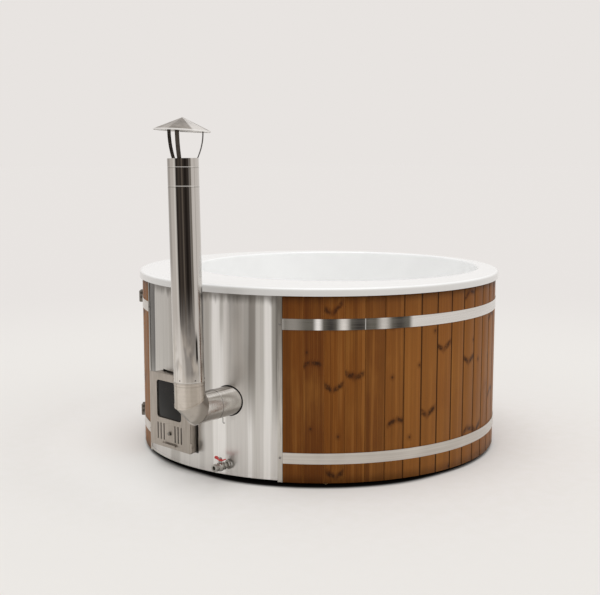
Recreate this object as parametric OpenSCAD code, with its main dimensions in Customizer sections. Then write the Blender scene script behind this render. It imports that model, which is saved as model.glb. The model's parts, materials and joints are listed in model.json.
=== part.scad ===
// Round wood-fired hot tub: moulded liner in a ring of upright boards, with two
// steel bands and a stove behind a curved steel panel. Millimetres, +Z up.
// The origin is on the floor at the tub's axis. The stove door faces -Y, and an
// azimuth is counted from -Y towards +X.

/* [Cladding] */
// Radius to the flat outer faces of the boards
tub_r = 985; // [900:5:1050]
// Number of upright boards
board_count = 52; // [40:1:60]
// Thickness of a board
board_t = 28; // [22:1:34]
// Height of the boards' lower ends above the floor
board_low = 20; // [14:1:30]
// Height of the boards' upper ends
board_high = 958; // [930:1:962]
// Width of the chamfer along each board's front edges
board_chamfer = 3; // [1:0.5:5]
// Reach of the tongue on each board's edge
tongue_len = 6; // [4:1:8]
// Thickness of the tongue
tongue_t = 7; // [5:0.5:9]

/* [Bands] */
// Height of the bands
band_h = 54; // [40:1:60]
// Thickness of the bands
band_t = 1; // [0.8:0.1:1.5]
// Height of the upper band's middle
upper_band_z = 799; // [760:1:830]
// Height of the lower band's middle
lower_band_z = 142; // [120:1:180]
// Azimuth of the bands' tension bolts
tension_az = -46; // [-60:1:-40]
// Azimuth of the upper band's butt joint
band_joint_az = 57; // [45:1:120]
// Width between the two ears that a tension bolt draws together
ear_gap = 36; // [24:1:50]
// Reach of an ear outside the band
ear_out = 30; // [24:1:40]
// Thickness of an ear
ear_t = 3; // [2:0.5:5]
// Radius of a tension bolt
bolt_r = 4; // [3:0.5:5]
// Height between the two bolts of one pair
bolt_pitch = 25; // [18:1:30]

/* [Liner] */
// Overhang of the rim past the boards
rim_out = 15; // [8:1:35]
// Height of the rim's top
rim_top = 975; // [970:1:1000]
// Height of the rim's outer skirt
rim_skirt = 39; // [30:1:50]
// Radius of the rim's outer edge
rim_round = 17; // [8:1:20]
// Thickness of the deck and the skirt
deck_t = 8; // [6:0.5:10]
// Thickness of the basin's wall
shell_t = 6; // [4:0.5:8]
// Width of the deck behind the basin, where it is narrowest
deck_back = 40; // [38:1:80]
// Distance of the basin's axis behind the tub's axis
basin_shift = 145; // [130:1:150]
// Lean of the basin's wall between the deck and the bench
wall_lean = 25; // [20:1:40]
// Height of the bench
bench_z = 430; // [410:1:440]
// Width of the bench
bench_w = 305; // [280:1:340]
// Lean of the footwell's wall
footwell_lean = 15; // [10:1:30]
// Height of the footwell's floor
footwell_z = 120; // [115:1:130]

/* [Panel] */
// Azimuth of the panel's left edge
panel_left = -22.5; // [-26:0.5:-20]
// Azimuth of the panel's right edge
panel_right = 33.9; // [30:0.1:38]
// Thickness of the panel
panel_t = 1.5; // [1:0.1:2]
// Height of the panel's lower edge
panel_low = 28; // [26:1:34]
// Height of the hem along the panel's lower edge
hem_h = 14; // [8:1:20]
// Width of the strips on the panel's edges
strip_w = 25; // [18:1:32]
// Thickness of those strips
strip_t = 2; // [1.5:0.5:3]

/* [Stove] */
// Left side of the stove's collar
collar_left = -208; // [-211:1:-200]
// Right side of the stove's collar
collar_right = 97; // [80:1:100]
// Underside of the collar
collar_low = 112; // [108:1:120]
// Top of the collar
collar_top = 487; // [470:1:490]
// Distance of the door's outer face outside the boards
door_out = 39; // [35:1:55]
// Sheet thickness of the collar
collar_t = 3; // [2:0.5:4]
// Gap between the collar and the panel's cut-out, above and at the right
cutout_gap = 11; // [8:1:16]
// Left end of the gap above the collar
slot_left = -186; // [-196:1:-150]
// Plate thickness of the stove
stove_t = 4; // [3:0.5:6]
// Distance of the stove's front plate behind the boards' faces
stove_in = 35; // [33:1:41]
// Depth of the stove
stove_depth = 260; // [220:5:270]
// Width of the water space round the fire chamber
water_gap = 30; // [20:1:34]
// Height of the water space over the fire chamber
water_over = 58; // [50:1:70]
// Height of the fire grate
grate_z = 190; // [170:1:220]
// Number of bars in the grate
grate_bars = 9; // [5:1:12]

/* [Door] */
// Reach of the door past the collar's left side
door_lap = 18; // [8:1:24]
// Thickness of the door plate
door_t = 5; // [4:0.5:8]
// Clearance between the closed door and the collar
door_gap = 1; // [0.6:0.1:2]
// Left side of the window
window_left = -170; // [-174:1:-140]
// Right side of the window
window_right = 28; // [10:1:40]
// Lower edge of the window
window_low = 258; // [256:1:280]
// Upper edge of the window
window_top = 454; // [420:1:455]
// Corner radius of the window
window_round = 18; // [8:1:24]
// Thickness of the glass
glass_t = 4; // [3:0.5:5]
// Lap of the glass behind the plate
glass_lap = 5; // [4:0.5:6]
// Width of the steel frame that holds the glass
frame_w = 5; // [4:0.5:6]
// Middle of the vent slots
vent_x = -69; // [-76:1:-56]
// Lower end of the vent slots
vent_low = 143; // [141:1:146]
// Length of a vent slot
vent_len = 89; // [70:1:90]
// Width of a vent slot
vent_w = 8; // [6:0.5:9]
// Distance from one vent slot to the next
vent_pitch = 25; // [18:0.5:26]
// Distance of the innermost slots from the middle
vent_inner = 45; // [36:0.5:48]
// Travel of the air slider
air_travel = 11; // [9:0.5:13]
// Width of the groove that forms the door's pull
pull_w = 116; // [80:1:130]
// Radius of a hinge knuckle
knuckle_r = 6; // [5.5:0.1:6]
// Radius of a hinge pin
pin_r = 4; // [3:0.1:4.2]
// Height of one knuckle
knuckle_h = 24; // [16:1:30]
// Height of each hinge's lower knuckle above and below the collar's ends
hinge_inset = 4; // [2:1:10]

/* [Flue] */
// Outer radius of the flue pipes
flue_r = 72.5; // [60:0.5:75]
// Wall of the flue pipes
flue_t = 1.5; // [1:0.1:2.5]
// Azimuth of the flue's hole in the panel
flue_az = 17.5; // [16:0.5:20]
// Height of the flue's hole
flue_z = 405; // [400:1:412]
// Turn of the flue away from straight out
flue_turn = 5.6; // [3:0.1:8]
// Lean of the chimney to the left of upright
flue_lean = 1.2; // [0:0.1:2]
// Distance from the panel to the chimney's axis
flue_run = 265; // [250:1:320]
// Distance from the elbow's corner to each of its seams
elbow_reach = 46; // [40:1:70]
// Radius of the bend inside the casing
bend_r = 110; // [100:1:120]
// Distance of that bend behind the panel
bend_in = 40; // [30:1:44]
// Height of the elbow's top
elbow_top = 545; // [520:1:560]
// Length of a pipe's spigot
spigot_len = 38; // [25:1:50]
// Length of the chimney's lower pipe
pipe_len = 911; // [700:1:1200]
// Length of its upper pipe
top_len = 88; // [60:1:200]
// Length of the rain cap's collar
collar_len = 40; // [30:1:60]
// Height of the rain cap's edge above the chimney's mouth
cap_gap = 127; // [100:1:150]
// Radius of the rain cap
cap_r = 132; // [124:0.5:150]
// Height of the rain cap's cone
cone_h = 59; // [40:1:80]
// Sheet thickness of the cone
cone_t = 1.2; // [1:0.1:2]
// Lean of the cone
cap_lean = 4; // [0:0.5:5]
// Width of the cap's straps
strap_w = 20; // [14:1:26]
// Thickness of the straps
strap_t = 1.5; // [1:0.1:2.5]
// Radius of the straps' middle line where they meet the cone
strap_top_r = 96; // [85:1:100]
// Outward bow of the straps
strap_bow = 9; // [5:1:20]

/* [Water] */
// Azimuth of the drain valve
valve_az = 17.7; // [16:0.1:22]
// Height of the drain valve
valve_z = 84; // [82:1:86]
// Outer radius of the drain pipe
drain_r = 14; // [12:0.5:15]
// Inner radius of the drain pipe
drain_bore = 10.5; // [8:0.5:11]
// Outer radius of the circulation pipes
water_r = 20; // [15:0.5:20]
// Wall of the circulation pipes
water_t = 2; // [1.5:0.5:3]
// Height of the hot pipe
hot_z = 505; // [503:1:510]
// Height of the return pipe
return_z = 200; // [190:1:220]

/* [Base] */
// Height of the floor beams
beam_h = 45; // [40:1:47]
// Width of the floor beams
beam_w = 95; // [70:1:120]
// Distance of the side beams from the middle one
beam_pitch = 600; // [500:10:650]
// Thickness of the floor disc
disc_t = 18; // [15:1:18]
// Side of the square posts
post = 45; // [40:1:50]

/* [Hidden] */

$fn = 96;
seat = 0.3;          // gap between pieces that rest on each other
eps = 1;             // overshoot of a cutting shape
far = 3000;          // longer than anything in the tub

rim_r = tub_r + rim_out;
basin_r = tub_r - basin_shift - deck_back;
bench_wall_r = basin_r - wall_lean;
footwell_r = bench_wall_r - bench_w;
footwell_floor_r = footwell_r - footwell_lean;
door_front = tub_r + door_out;
stove_front = tub_r - stove_in;
pipe_joint_z = elbow_top + pipe_len;
cap_joint_z = pipe_joint_z + top_len;
mouth_z = cap_joint_z + collar_len;
cap_z = mouth_z + cap_gap;
boards_span = 360 - (panel_right - panel_left);
board_pitch = boards_span / board_count;
board_in = tub_r - board_t;
corner_r = tub_r / cos(board_pitch / 2);
band_r = corner_r + seat;
hoop_t = 4;
hoop_h = 40;
hoop_r = board_in - seat;
post_face = hoop_r - hoop_t - 2 * seat;
disc_z = beam_h + disc_t;
disc_r = board_in - 2 * seat;
deck_under = rim_top - deck_t;
door_left = collar_left - door_lap;
door_back = door_front - door_t;
collar_front = door_back - door_gap;
chamber_depth = stove_depth - water_gap;
stove_rear = stove_front - stove_depth;
stove_low = collar_low - water_gap;
stove_high = collar_top + water_over;
hinge_x = collar_right + knuckle_r + 0.5;
hinge_y = -(door_front - door_t / 2);
flue_bore = flue_r - flue_t;
spigot_r = flue_bore - seat;
lip_flare = 14;
elbow_rise = elbow_top - flue_z;
steel = "#c9c8c5";
dark_steel = "#8f8c88";
wood = "#7b4a22";
plain_wood = "#b98f5c";
white = "#f1f1ef";

// ---- helpers ----
module at_azimuth(a) rotate([0, 0, a]) children();

// Rings about the tub's axis from azimuth a0 to azimuth a1
module arc_bar(a0, a1, r_in, r_out, z0, z1)
  rotate([0, 0, a0 - 90]) rotate_extrude(angle = a1 - a0, $fn = 180)
    translate([r_in, z0]) square([r_out - r_in, z1 - z0]);

module box(x0, x1, y0, y1, z0, z1)
  translate([x0, y0, z0]) cube([x1 - x0, y1 - y0, z1 - z0]);

// A cylinder whose axis runs along -Y from y0 outwards to y1
module along_y(r, y0, y1)
  translate([0, y0, 0]) rotate([90, 0, 0]) cylinder(r = r, h = y0 - y1);

// Corner points [x, y, r] turned into a path with round corners
function unit(v) = v / norm(v);
function corner_arc(a, b, c, r, steps = 7) =
  r == 0 ? [b] :
  let (
    u = unit(a - b), w = unit(c - b),
    half = acos(u * w) / 2,
    centre = b + unit(u + w) * r / sin(half),
    from = b + u * r / tan(half) - centre,
    to = b + w * r / tan(half) - centre,
    a0 = atan2(from[1], from[0]),
    turn = (atan2(to[1], to[0]) - a0 + 540) % 360 - 180
  )
  [for (i = [0:steps]) centre + r * [cos(a0 + turn * i / steps), sin(a0 + turn * i / steps)]];
function xy(p) = [p[0], p[1]];
function round_path(pts) = [
  for (i = [0:len(pts) - 1])
    each corner_arc(
      xy(pts[(i + len(pts) - 1) % len(pts)]), xy(pts[i]),
      xy(pts[(i + 1) % len(pts)]), pts[i][2]
    )
];

// ---- liner ----
function basin_path(t, top) = [
  [0, footwell_z - t, 0],
  [footwell_floor_r + t, footwell_z - t, 50 + t],
  [footwell_r + t, bench_z - t, 30 - t],
  [bench_wall_r + t, bench_z - t, 30 + t],
  [basin_r + t, top, t == 0 ? lip_flare : 0]
];

module basin_cavity()
  translate([0, basin_shift, 0]) rotate_extrude($fn = 180)
    polygon(round_path(concat(
      basin_path(0, rim_top),
      [[basin_r + 2 * lip_flare, rim_top, 0], [basin_r + 2 * lip_flare, rim_top + eps, 0],
       [0, rim_top + eps, 0]]
    )));

module basin_outside()
  translate([0, basin_shift, 0]) rotate_extrude($fn = 180)
    polygon(round_path(concat(basin_path(shell_t, rim_top - eps), [[0, rim_top - eps, 0]])));

module deck()
  rotate_extrude($fn = 180) polygon(round_path([
    [0, deck_under, 0], [rim_r - deck_t, deck_under, rim_round - deck_t],
    [rim_r - deck_t, rim_top - rim_skirt, 0], [rim_r, rim_top - rim_skirt, 0],
    [rim_r, rim_top, rim_round], [0, rim_top, 0]
  ]));

module liner() color(white)
  difference() {
    union() { deck(); basin_outside(); }
    basin_cavity();
    translate([0, basin_shift, 0]) cylinder(r = drain_r + 4 + seat, h = footwell_z + eps);
    for (p = water_ports()) translate([p[0], 0, p[1]]) along_y(water_r + seat, 0, -stove_front);
  }

module drain_strainer() color(steel)
  translate([0, basin_shift, 0]) difference() {
    union() {
      translate([0, 0, valve_z + drop_r + seat])
        cylinder(r = drain_r + 4, h = footwell_z - valve_z - drop_r);
      translate([0, 0, footwell_z + seat]) cylinder(r1 = 40, r2 = 37, h = 4);
    }
    translate([0, 0, valve_z]) cylinder(r = drain_bore, h = footwell_z - valve_z);
    for (ring = [[6, 12], [12, 22], [18, 31]], i = [0:ring[0] - 1])
      rotate([0, 0, 360 * i / ring[0]])
        translate([ring[1], 0, footwell_z - eps]) cylinder(r = 2.5, h = 10, $fn = 24);
  }

// ---- cladding ----
// One board with its tongue towards +X and its groove towards -X
module board_outline() {
  half = board_pitch / 2;
  mid = board_in + board_t / 2;
  x_in = board_in * tan(half) - seat / 2;
  x_out = tub_r * tan(half) - seat / 2;
  difference() {
    union() {
      polygon([
        [-x_in, -board_in], [x_in, -board_in],
        [x_out - board_chamfer * tan(half), -tub_r + board_chamfer],
        [x_out - board_chamfer, -tub_r], [-x_out + board_chamfer, -tub_r],
        [-x_out + board_chamfer * tan(half), -tub_r + board_chamfer]
      ]);
      rotate(half) translate([-eps, -mid - tongue_t / 2]) square([tongue_len + eps, tongue_t]);
    }
    rotate(-half) translate([-eps, -mid - tongue_t / 2 - seat])
      square([tongue_len + eps + seat, tongue_t + 2 * seat]);
  }
}

module boards(first, last) color(wood)
  for (i = [first:last])
    at_azimuth(panel_right + (i + 0.5) * board_pitch)
      translate([0, 0, board_low]) linear_extrude(board_high - board_low)
        difference() {
          board_outline();
          if (i == board_count - 1)
            rotate(board_pitch / 2) translate([-seat / 2, -tub_r]) square([far, far]);
        }

quarter = floor(board_count / 4);
module boards_right() boards(0, quarter - 1);
module boards_back_right() boards(quarter, 2 * quarter - 1);
module boards_back_left() boards(2 * quarter, 3 * quarter - 1);
module boards_left() boards(3 * quarter, board_count - 1);

// ---- bands ----
ear_az = ear_gap / 2 / band_r * 180 / PI;              // half the azimuth between two ears
tension_back = tension_az + 360;
bolt_rise = 13;                                        // the bolts sit high on the bands

module ear_holes(z)
  at_azimuth(tension_az) for (s = [-1, 1])
    translate([0, -band_r - ear_out / 2 - 2, z + bolt_rise + s * bolt_pitch / 2])
      rotate([0, 90, 0]) cylinder(r = bolt_r + seat, h = 4 * ear_gap, center = true, $fn = 32);

// A band between two azimuths, with an ear at the tension bolts on side s
module band_strip(a0, a1, z, s) color(steel)
  difference() {
    union() {
      arc_bar(a0, a1, band_r, band_r + band_t, z - band_h / 2, z + band_h / 2);
      at_azimuth(s > 0 ? a0 : a1) translate([s > 0 ? 0 : -ear_t, -band_r - ear_out, z - band_h / 2])
        cube([ear_t, ear_out, band_h + bolt_rise]);
    }
    ear_holes(z);
  }

gap_az = seat / band_r * 180 / PI;
module upper_band_short() band_strip(tension_az + ear_az, panel_left - gap_az, upper_band_z, 1);
module lower_band_short() band_strip(tension_az + ear_az, panel_left - gap_az, lower_band_z, 1);
module upper_band() band_strip(band_joint_az + gap_az, tension_back - ear_az, upper_band_z, -1);
module lower_band() band_strip(panel_right + gap_az, tension_back - ear_az, lower_band_z, -1);
module upper_band_right() color(steel)
  arc_bar(panel_right + gap_az, band_joint_az, band_r, band_r + band_t,
    upper_band_z - band_h / 2, upper_band_z + band_h / 2);

module at_bolts()
  for (z = [upper_band_z, lower_band_z], s = [-1, 1])
    at_azimuth(tension_az)
      translate([0, -band_r - ear_out / 2 - 2, z + bolt_rise + s * bolt_pitch / 2]) children();

bolt_side = ear_gap / 2 + ear_t + 3 * seat;   // clear of the ears, which stand along the radius
module tension_bolts() color(dark_steel) at_bolts() rotate([0, 90, 0]) {
  translate([0, 0, -bolt_side - 12]) cylinder(r = bolt_r, h = 2 * bolt_side + 12, $fn = 32);
  translate([0, 0, bolt_side]) cylinder(r = 7.5, h = 6, $fn = 6);
}
module tension_nuts() color(dark_steel) at_bolts() rotate([0, -90, 0])
  translate([0, 0, bolt_side]) difference() {
    cylinder(r = 7.5, h = 7, $fn = 6);
    translate([0, 0, -eps]) cylinder(r = bolt_r + seat / 3, h = 10, $fn = 32);
  }

// ---- carcass ----
module inner_hoops() color(steel)
  for (z = [upper_band_z, lower_band_z])
    arc_bar(panel_right + gap_az, panel_left + 360 - gap_az, hoop_r - hoop_t, hoop_r,
      z - hoop_h / 2, z + hoop_h / 2);

module upright(az, r_face, depth, top)
  at_azimuth(az) box(-post / 2, post / 2, -r_face, -r_face + depth, disc_z + seat, top - seat);

module frame_posts() color(plain_wood)
  for (az = [-105, -80, -52, 58, 82, 107]) upright(az, post_face, post, deck_under);

panel_in = tub_r - panel_t;
panel_post_az = 1.75;                // keeps the posts beside the last boards
module panel_posts() color(plain_wood)
  for (az = [panel_left + panel_post_az, panel_right - panel_post_az])
    difference() {
      upright(az, panel_in - seat, post + 10, deck_under);
      strip_screw_holes();
    }

bench_ring = (footwell_r + bench_wall_r) / 2;
module bench_posts() color(plain_wood)
  translate([0, basin_shift, 0]) for (az = [45, 95, 130, 180, 230, 265, 315])
    upright(az, bench_ring, post, bench_z - shell_t);

pad = 80;
module footwell_pads() color(plain_wood)
  translate([0, basin_shift, 0]) for (az = [45:90:315])
    at_azimuth(az) translate([0, -footwell_floor_r * 0.72, 0])
      box(-pad / 2, pad / 2, -pad / 2, pad / 2, disc_z + seat, footwell_z - shell_t - seat);

module floor_disc() color(plain_wood)
  translate([0, 0, beam_h + seat]) cylinder(r = disc_r, h = disc_t - seat, $fn = 180);

module beam(y) {
  half = sqrt(pow(disc_r - 20, 2) - pow(abs(y) + beam_w / 2, 2));
  box(-half, half, y - beam_w / 2, y + beam_w / 2, 0, beam_h);
}
module middle_beam() color(plain_wood) beam(0);
module side_beams() color(plain_wood) for (s = [-1, 1]) beam(s * beam_pitch);

// ---- panel ----
module flue_frame()
  translate([panel_in * sin(flue_az), -panel_in * cos(flue_az), flue_z])
    rotate([0, 0, flue_turn]) children();
// The same frame rolled about the flue, so that the chimney leans
module elbow_frame() flue_frame() rotate([0, -flue_lean, 0]) children();
module valve_frame()
  translate([tub_r * sin(valve_az), -tub_r * cos(valve_az), valve_z]) children();

flue_gap = 5;                        // dark ring round the flue in the panel
strip_in = tub_r + seat;
strip_az = strip_w / 2 / tub_r * 180 / PI;
module strip_screw_holes()
  for (z = [upper_band_z, lower_band_z], az = [panel_left + strip_az, panel_right - strip_az])
    at_azimuth(az) translate([0, 0, z]) along_y(2.5 + seat / 2, -tub_r + 60, -tub_r - 10, $fn = 24);

module front_panel() color(steel)
  difference() {
    union() {
      arc_bar(panel_left + gap_az, panel_right - gap_az, panel_in, tub_r, panel_low, board_high);
      arc_bar(panel_left + 2 * strip_az, panel_right - 2 * strip_az, panel_in,
        tub_r + panel_t, panel_low, panel_low + hem_h);
    }
    box(collar_left - 2, collar_right + cutout_gap, -tub_r - eps, -tub_r / 2,
      collar_low - 4, collar_top + 1);
    box(slot_left, collar_right + cutout_gap, -tub_r - eps, -tub_r / 2,
      collar_low, collar_top + cutout_gap);
    flue_frame() along_y(flue_r + flue_gap, 100, -100);
    valve_frame() along_y(drain_r + seat, 60, -60);
    strip_screw_holes();
  }

module panel_strips() color(steel)
  difference() {
    for (a = [panel_left + strip_az, panel_right - strip_az])
      arc_bar(a - strip_az + gap_az, a + strip_az - gap_az, strip_in, strip_in + strip_t,
        board_low, board_high);
    strip_screw_holes();
  }

module strip_screws() color(dark_steel)
  for (z = [upper_band_z, lower_band_z], az = [panel_left + strip_az, panel_right - strip_az])
    at_azimuth(az) translate([0, -strip_in - strip_t - seat, z]) rotate([90, 0, 0]) {
      cylinder(r1 = 6, r2 = 4.5, h = 3, $fn = 32);
      translate([0, 0, -40]) cylinder(r = 2.5, h = 41, $fn = 24);
    }

// ---- stove ----
// The bend that joins the stove's side to the flue's hole in the panel
module flue_bend() color(dark_steel)
  flue_frame() translate([-bend_r, bend_in, 0]) {
    rotate_extrude(angle = 90) translate([bend_r, 0])
      difference() { circle(r = flue_r); circle(r = flue_bore); }
    translate([0, bend_r, 0]) rotate([0, -90, 0]) linear_extrude(bend_tail)
      difference() { circle(r = flue_r); circle(r = flue_bore); }
  }

bend_tail = 82;
module stove_flue_hole()
  flue_frame() translate([-bend_r, bend_in + bend_r, 0]) rotate([0, -90, 0])
    cylinder(r = flue_r + seat, h = 2 * bend_tail);

function water_ports() = [[60, hot_z], [-100, return_z]];
module port_holes()
  for (p = water_ports()) translate([p[0], 0, p[1]]) along_y(water_r + seat, 0, -stove_rear - stove_t - eps);

module water_jacket() color(dark_steel)
  difference() {
    box(collar_left - water_gap, collar_right + water_gap, -stove_front, -stove_rear,
      stove_low, stove_high);
    box(collar_left - water_gap + stove_t, collar_right + water_gap - stove_t,
      -stove_front + stove_t, -stove_rear - stove_t, stove_low + stove_t, stove_high - stove_t);
    box(collar_left - seat, collar_right + seat, -stove_front - eps, -stove_front + stove_t + eps,
      collar_low - seat, collar_top + seat);
    stove_flue_hole();
    port_holes();
  }

module fire_chamber() color(dark_steel)
  difference() {
    box(collar_left, collar_right, -stove_front, -stove_front + chamber_depth, collar_low, collar_top);
    box(collar_left + stove_t, collar_right - stove_t, -stove_front - eps,
      -stove_front + chamber_depth - stove_t, collar_low + stove_t, collar_top - stove_t);
    stove_flue_hole();
  }

bar_t = 12;
grate_x0 = collar_left + stove_t + seat;
grate_x1 = collar_right - stove_t - seat;
grate_y0 = -stove_front + 8;
grate_y1 = -stove_front + chamber_depth - stove_t - seat;
module fire_grate() color("#3a3835")
  translate([0, 0, grate_z - bar_t]) {
    for (x = [grate_x0, grate_x1 - bar_t]) box(x, x + bar_t, grate_y0, grate_y1, 0, bar_t);
    for (i = [0:grate_bars - 1])
      translate([0, grate_y0 + (grate_y1 - grate_y0 - bar_t) * i / (grate_bars - 1), 0])
        box(grate_x0, grate_x1, 0, bar_t, 0, bar_t);
    for (x = [grate_x0, grate_x1 - bar_t], y = [grate_y0, grate_y1 - bar_t])
      box(x, x + bar_t, y, y + bar_t, collar_low + stove_t + seat - grate_z + bar_t, 0);
  }

pan_inset = 18;
pan_h = 42;
module ash_pan() color(dark_steel)
  translate([0, 0, collar_low + stove_t + seat]) difference() {
    box(grate_x0 + pan_inset, grate_x1 - pan_inset, grate_y0 + 4, grate_y1 - pan_inset, 0, pan_h);
    box(grate_x0 + pan_inset + 2, grate_x1 - pan_inset - 2, grate_y0 + 6, grate_y1 - pan_inset - 2,
      2, pan_h + eps);
  }

leaf_y = 13;
hinge_bases = [collar_low + hinge_inset, collar_top - hinge_inset - 2 * knuckle_h - seat];
module knuckle(z)
  translate([hinge_x, hinge_y, z]) cylinder(r = knuckle_r, h = knuckle_h);
module pin_hole(clear)
  translate([hinge_x, hinge_y, 0]) cylinder(r = pin_r + clear, h = stove_high);

module stove_collar() color(steel)
  difference() {
    union() {
      difference() {
        box(collar_left, collar_right, -collar_front, -stove_front - seat, collar_low, collar_top);
        box(collar_left + collar_t, collar_right - collar_t, -collar_front - eps, -stove_front,
          collar_low + collar_t, collar_top - collar_t);
      }
      for (z = hinge_bases) {
        knuckle(z);
        box(collar_right - 0.5, hinge_x, -collar_front, -collar_front + leaf_y, z, z + knuckle_h);
        box(hinge_x - 3, hinge_x + 3, hinge_y, -collar_front + leaf_y, z, z + knuckle_h);
      }
    }
    pin_hole(0.06);
  }

module hinge_pins() color(dark_steel)
  for (z = hinge_bases) translate([hinge_x, hinge_y, z - 3 - seat]) {
    cylinder(r = pin_r, h = 2 * knuckle_h + 3 + 2 * seat);
    cylinder(r = pin_r + 1.5, h = 3);
  }

module stove_feet() color(dark_steel)
  for (x = [collar_left, collar_right], y = [-stove_front + 30, -stove_rear - 30])
    translate([x, y, disc_z + seat]) cylinder(r = 18, h = stove_low - disc_z - 2 * seat);

shield_gap = 18;
module heat_shield() color(steel)
  difference() {
    box(collar_left - water_gap, collar_right + water_gap, -stove_rear + seat, -stove_rear + shield_gap,
      stove_low, stove_high + 30);
    box(collar_left - water_gap + 1, collar_right + water_gap - 1, -stove_rear - eps,
      -stove_rear + shield_gap - 1, stove_low + 1, stove_high + 40);
    for (p = water_ports()) translate([p[0], 0, p[1]]) along_y(water_r + 2, 0, -stove_front);
  }

// ---- door ----
// A round-cornered outline made of exact arcs
module round_rect(w, h, r) {
  translate([r, 0]) square([w - 2 * r, h]);
  translate([0, r]) square([w, h - 2 * r]);
  for (x = [r, w - r], y = [r, h - r]) translate([x, y]) circle(r = r, $fn = 48);
}

// A flat shape drawn in X and Z, from distance d0 out to distance d1
module upright_plate(d0, d1)
  translate([0, -d0, 0]) rotate([90, 0, 0]) linear_extrude(d1 - d0) children();

module window_outline(grow)
  translate([window_left - grow, window_low - grow])
    round_rect(window_right - window_left + 2 * grow, window_top - window_low + 2 * grow,
      window_round + grow);

function vent_offsets() = [for (s = [-1, 1], i = [0:2]) vent_x + s * (vent_inner + i * vent_pitch)];
module vents(w, shift)
  for (x = vent_offsets()) translate([x - w / 2 + shift, vent_low])
    round_rect(w, vent_len, w / 2 - 0.1);

knob_z = vent_low + 41;
knob_stem = 4;
module knob_slot()
  translate([vent_x - knob_stem - 1, knob_z - knob_stem - 0.5])
    round_rect(air_travel + 2 * knob_stem + 2, 2 * knob_stem + 1, knob_stem);

pull_z = collar_low + 11;
pull_h = 14;
pull_deep = 3.5;
module pull_slot()
  translate([vent_x - pull_w / 2, pull_z]) round_rect(pull_w, pull_h, pull_h / 2 - 0.1);

slider_t = 2;
guide_t = 3;
lip = 2;
slider_low = vent_low - 6;
slider_high = vent_low + vent_len + 3;
slider_x0 = vent_x - vent_inner - 2 * vent_pitch - 12;
slider_x1 = vent_x + vent_inner + 2 * vent_pitch + 12 - air_travel;
module door_plate() color(steel) {
  difference() {
    union() {
      upright_plate(door_back, door_front)
        translate([door_left, collar_low - 4]) round_rect(collar_right - door_left,
          collar_top - collar_low + 8, 2);
      for (z = hinge_bases) {
        knuckle(z + knuckle_h + seat);
        box(collar_right - 5, hinge_x, -door_front, -door_back, z + knuckle_h + seat,
          z + 2 * knuckle_h + seat);
      }
    }
    upright_plate(door_back - eps, door_front + eps) {
      window_outline(0);
      vents(vent_w, 0);
      knob_slot();
    }
    upright_plate(door_front - pull_deep, door_front + eps) pull_slot();
    pin_hole(0.06);
  }
  for (z = [slider_low, slider_high]) slider_guide(z, z == slider_low ? -1 : 1);
}

// One of the two lipped guides that the air slider runs in
module slider_guide(z, side)
  translate([slider_x0, 0, z]) rotate([90, 0, 90]) linear_extrude(slider_x1 + air_travel - slider_x0)
    scale([1, side]) polygon([
      [-door_back - seat, seat], [-door_back + slider_t + 2 * seat, seat],
      [-door_back + slider_t + 2 * seat, -lip], [-door_back + slider_t + 2 * seat + 1, -lip],
      [-door_back + slider_t + 2 * seat + 1, guide_t], [-door_back - seat, guide_t]
    ]);

glass_back = door_back - glass_t - 2 * seat;
module door_glass() color([0.12, 0.13, 0.12])
  upright_plate(door_back - seat - glass_t, door_back - seat) window_outline(glass_lap);

module glass_frame() color(dark_steel)
  upright_plate(glass_back - 2, door_back - seat) difference() {
    window_outline(glass_lap + frame_w);
    window_outline(glass_lap + seat);
  }

seal_w = 10;
module seal_outline(grow) {
  m = collar_t + 6 + seal_w;
  translate([collar_left + m - grow, collar_low + m - grow])
    square([collar_right - collar_left - 2 * m + 2 * grow, collar_top - collar_low - 2 * m + 2 * grow]);
}
module door_seal() color("#e8e4dc")
  upright_plate(door_back - seat - 6, door_back - seat) difference() {
    seal_outline(seal_w);
    seal_outline(0);
  }

lip_out = 10;
module door_pull() color(steel)
  translate([vent_x - pull_w / 2 + 5, 0, pull_z]) rotate([90, 0, 90]) linear_extrude(pull_w - 10)
    polygon([
      [-door_front + pull_deep - seat, seat], [-door_front - lip_out, seat],
      [-door_front - lip_out, 7], [-door_front - lip_out + 1.5, 7],
      [-door_front - lip_out + 1.5, seat + 1.5], [-door_front + pull_deep - seat, seat + 1.5]
    ]);

module air_slider() color(dark_steel)
  upright_plate(door_back - slider_t - seat, door_back - seat) difference() {
    translate([slider_x0, slider_low]) square([slider_x1 - slider_x0, slider_high - slider_low]);
    vents(vent_w, 0);
    translate([vent_x, knob_z]) circle(r = knob_stem - 1 + seat, $fn = 32);
  }

module air_knob() color(dark_steel)
  translate([vent_x, 0, knob_z]) {
    along_y(knob_stem - 1, -door_back + slider_t + 4, -door_front - 4);
    along_y(9, -door_front - 1, -door_front - 7);
    along_y(7, -door_front - 7, -door_front - 10);
  }

// ---- chimney ----
module half_space(tilt, outward)
  rotate([tilt, 0, 0]) translate([-far / 2, outward ? -far : 0, -far / 2]) cube(far);

// Tubes along the three legs of the elbow, in the flue's own frame
module tube(h) difference() {
  cylinder(r = flue_r, h = h);
  translate([0, 0, -eps]) cylinder(r = flue_bore, h = h + 2 * eps);
}
mitre = 22.5;
module elbow_foot() color(steel)
  elbow_frame() difference() {
    translate([0, bend_in - seat, 0]) rotate([90, 0, 0]) tube(flue_run + bend_in);
    translate([0, elbow_reach - flue_run, 0]) half_space(-mitre, true);
  }

module elbow_gore() color(steel)
  elbow_frame() difference() {
    translate([0, elbow_reach - flue_run, 0]) rotate([45, 0, 0])
      translate([0, 0, -flue_run / 2]) tube(2 * flue_run);
    translate([0, elbow_reach - flue_run - seat / 2, 0]) half_space(-mitre, false);
    translate([0, -flue_run, elbow_reach - seat / 2]) half_space(mitre - 90, true);
  }

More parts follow.
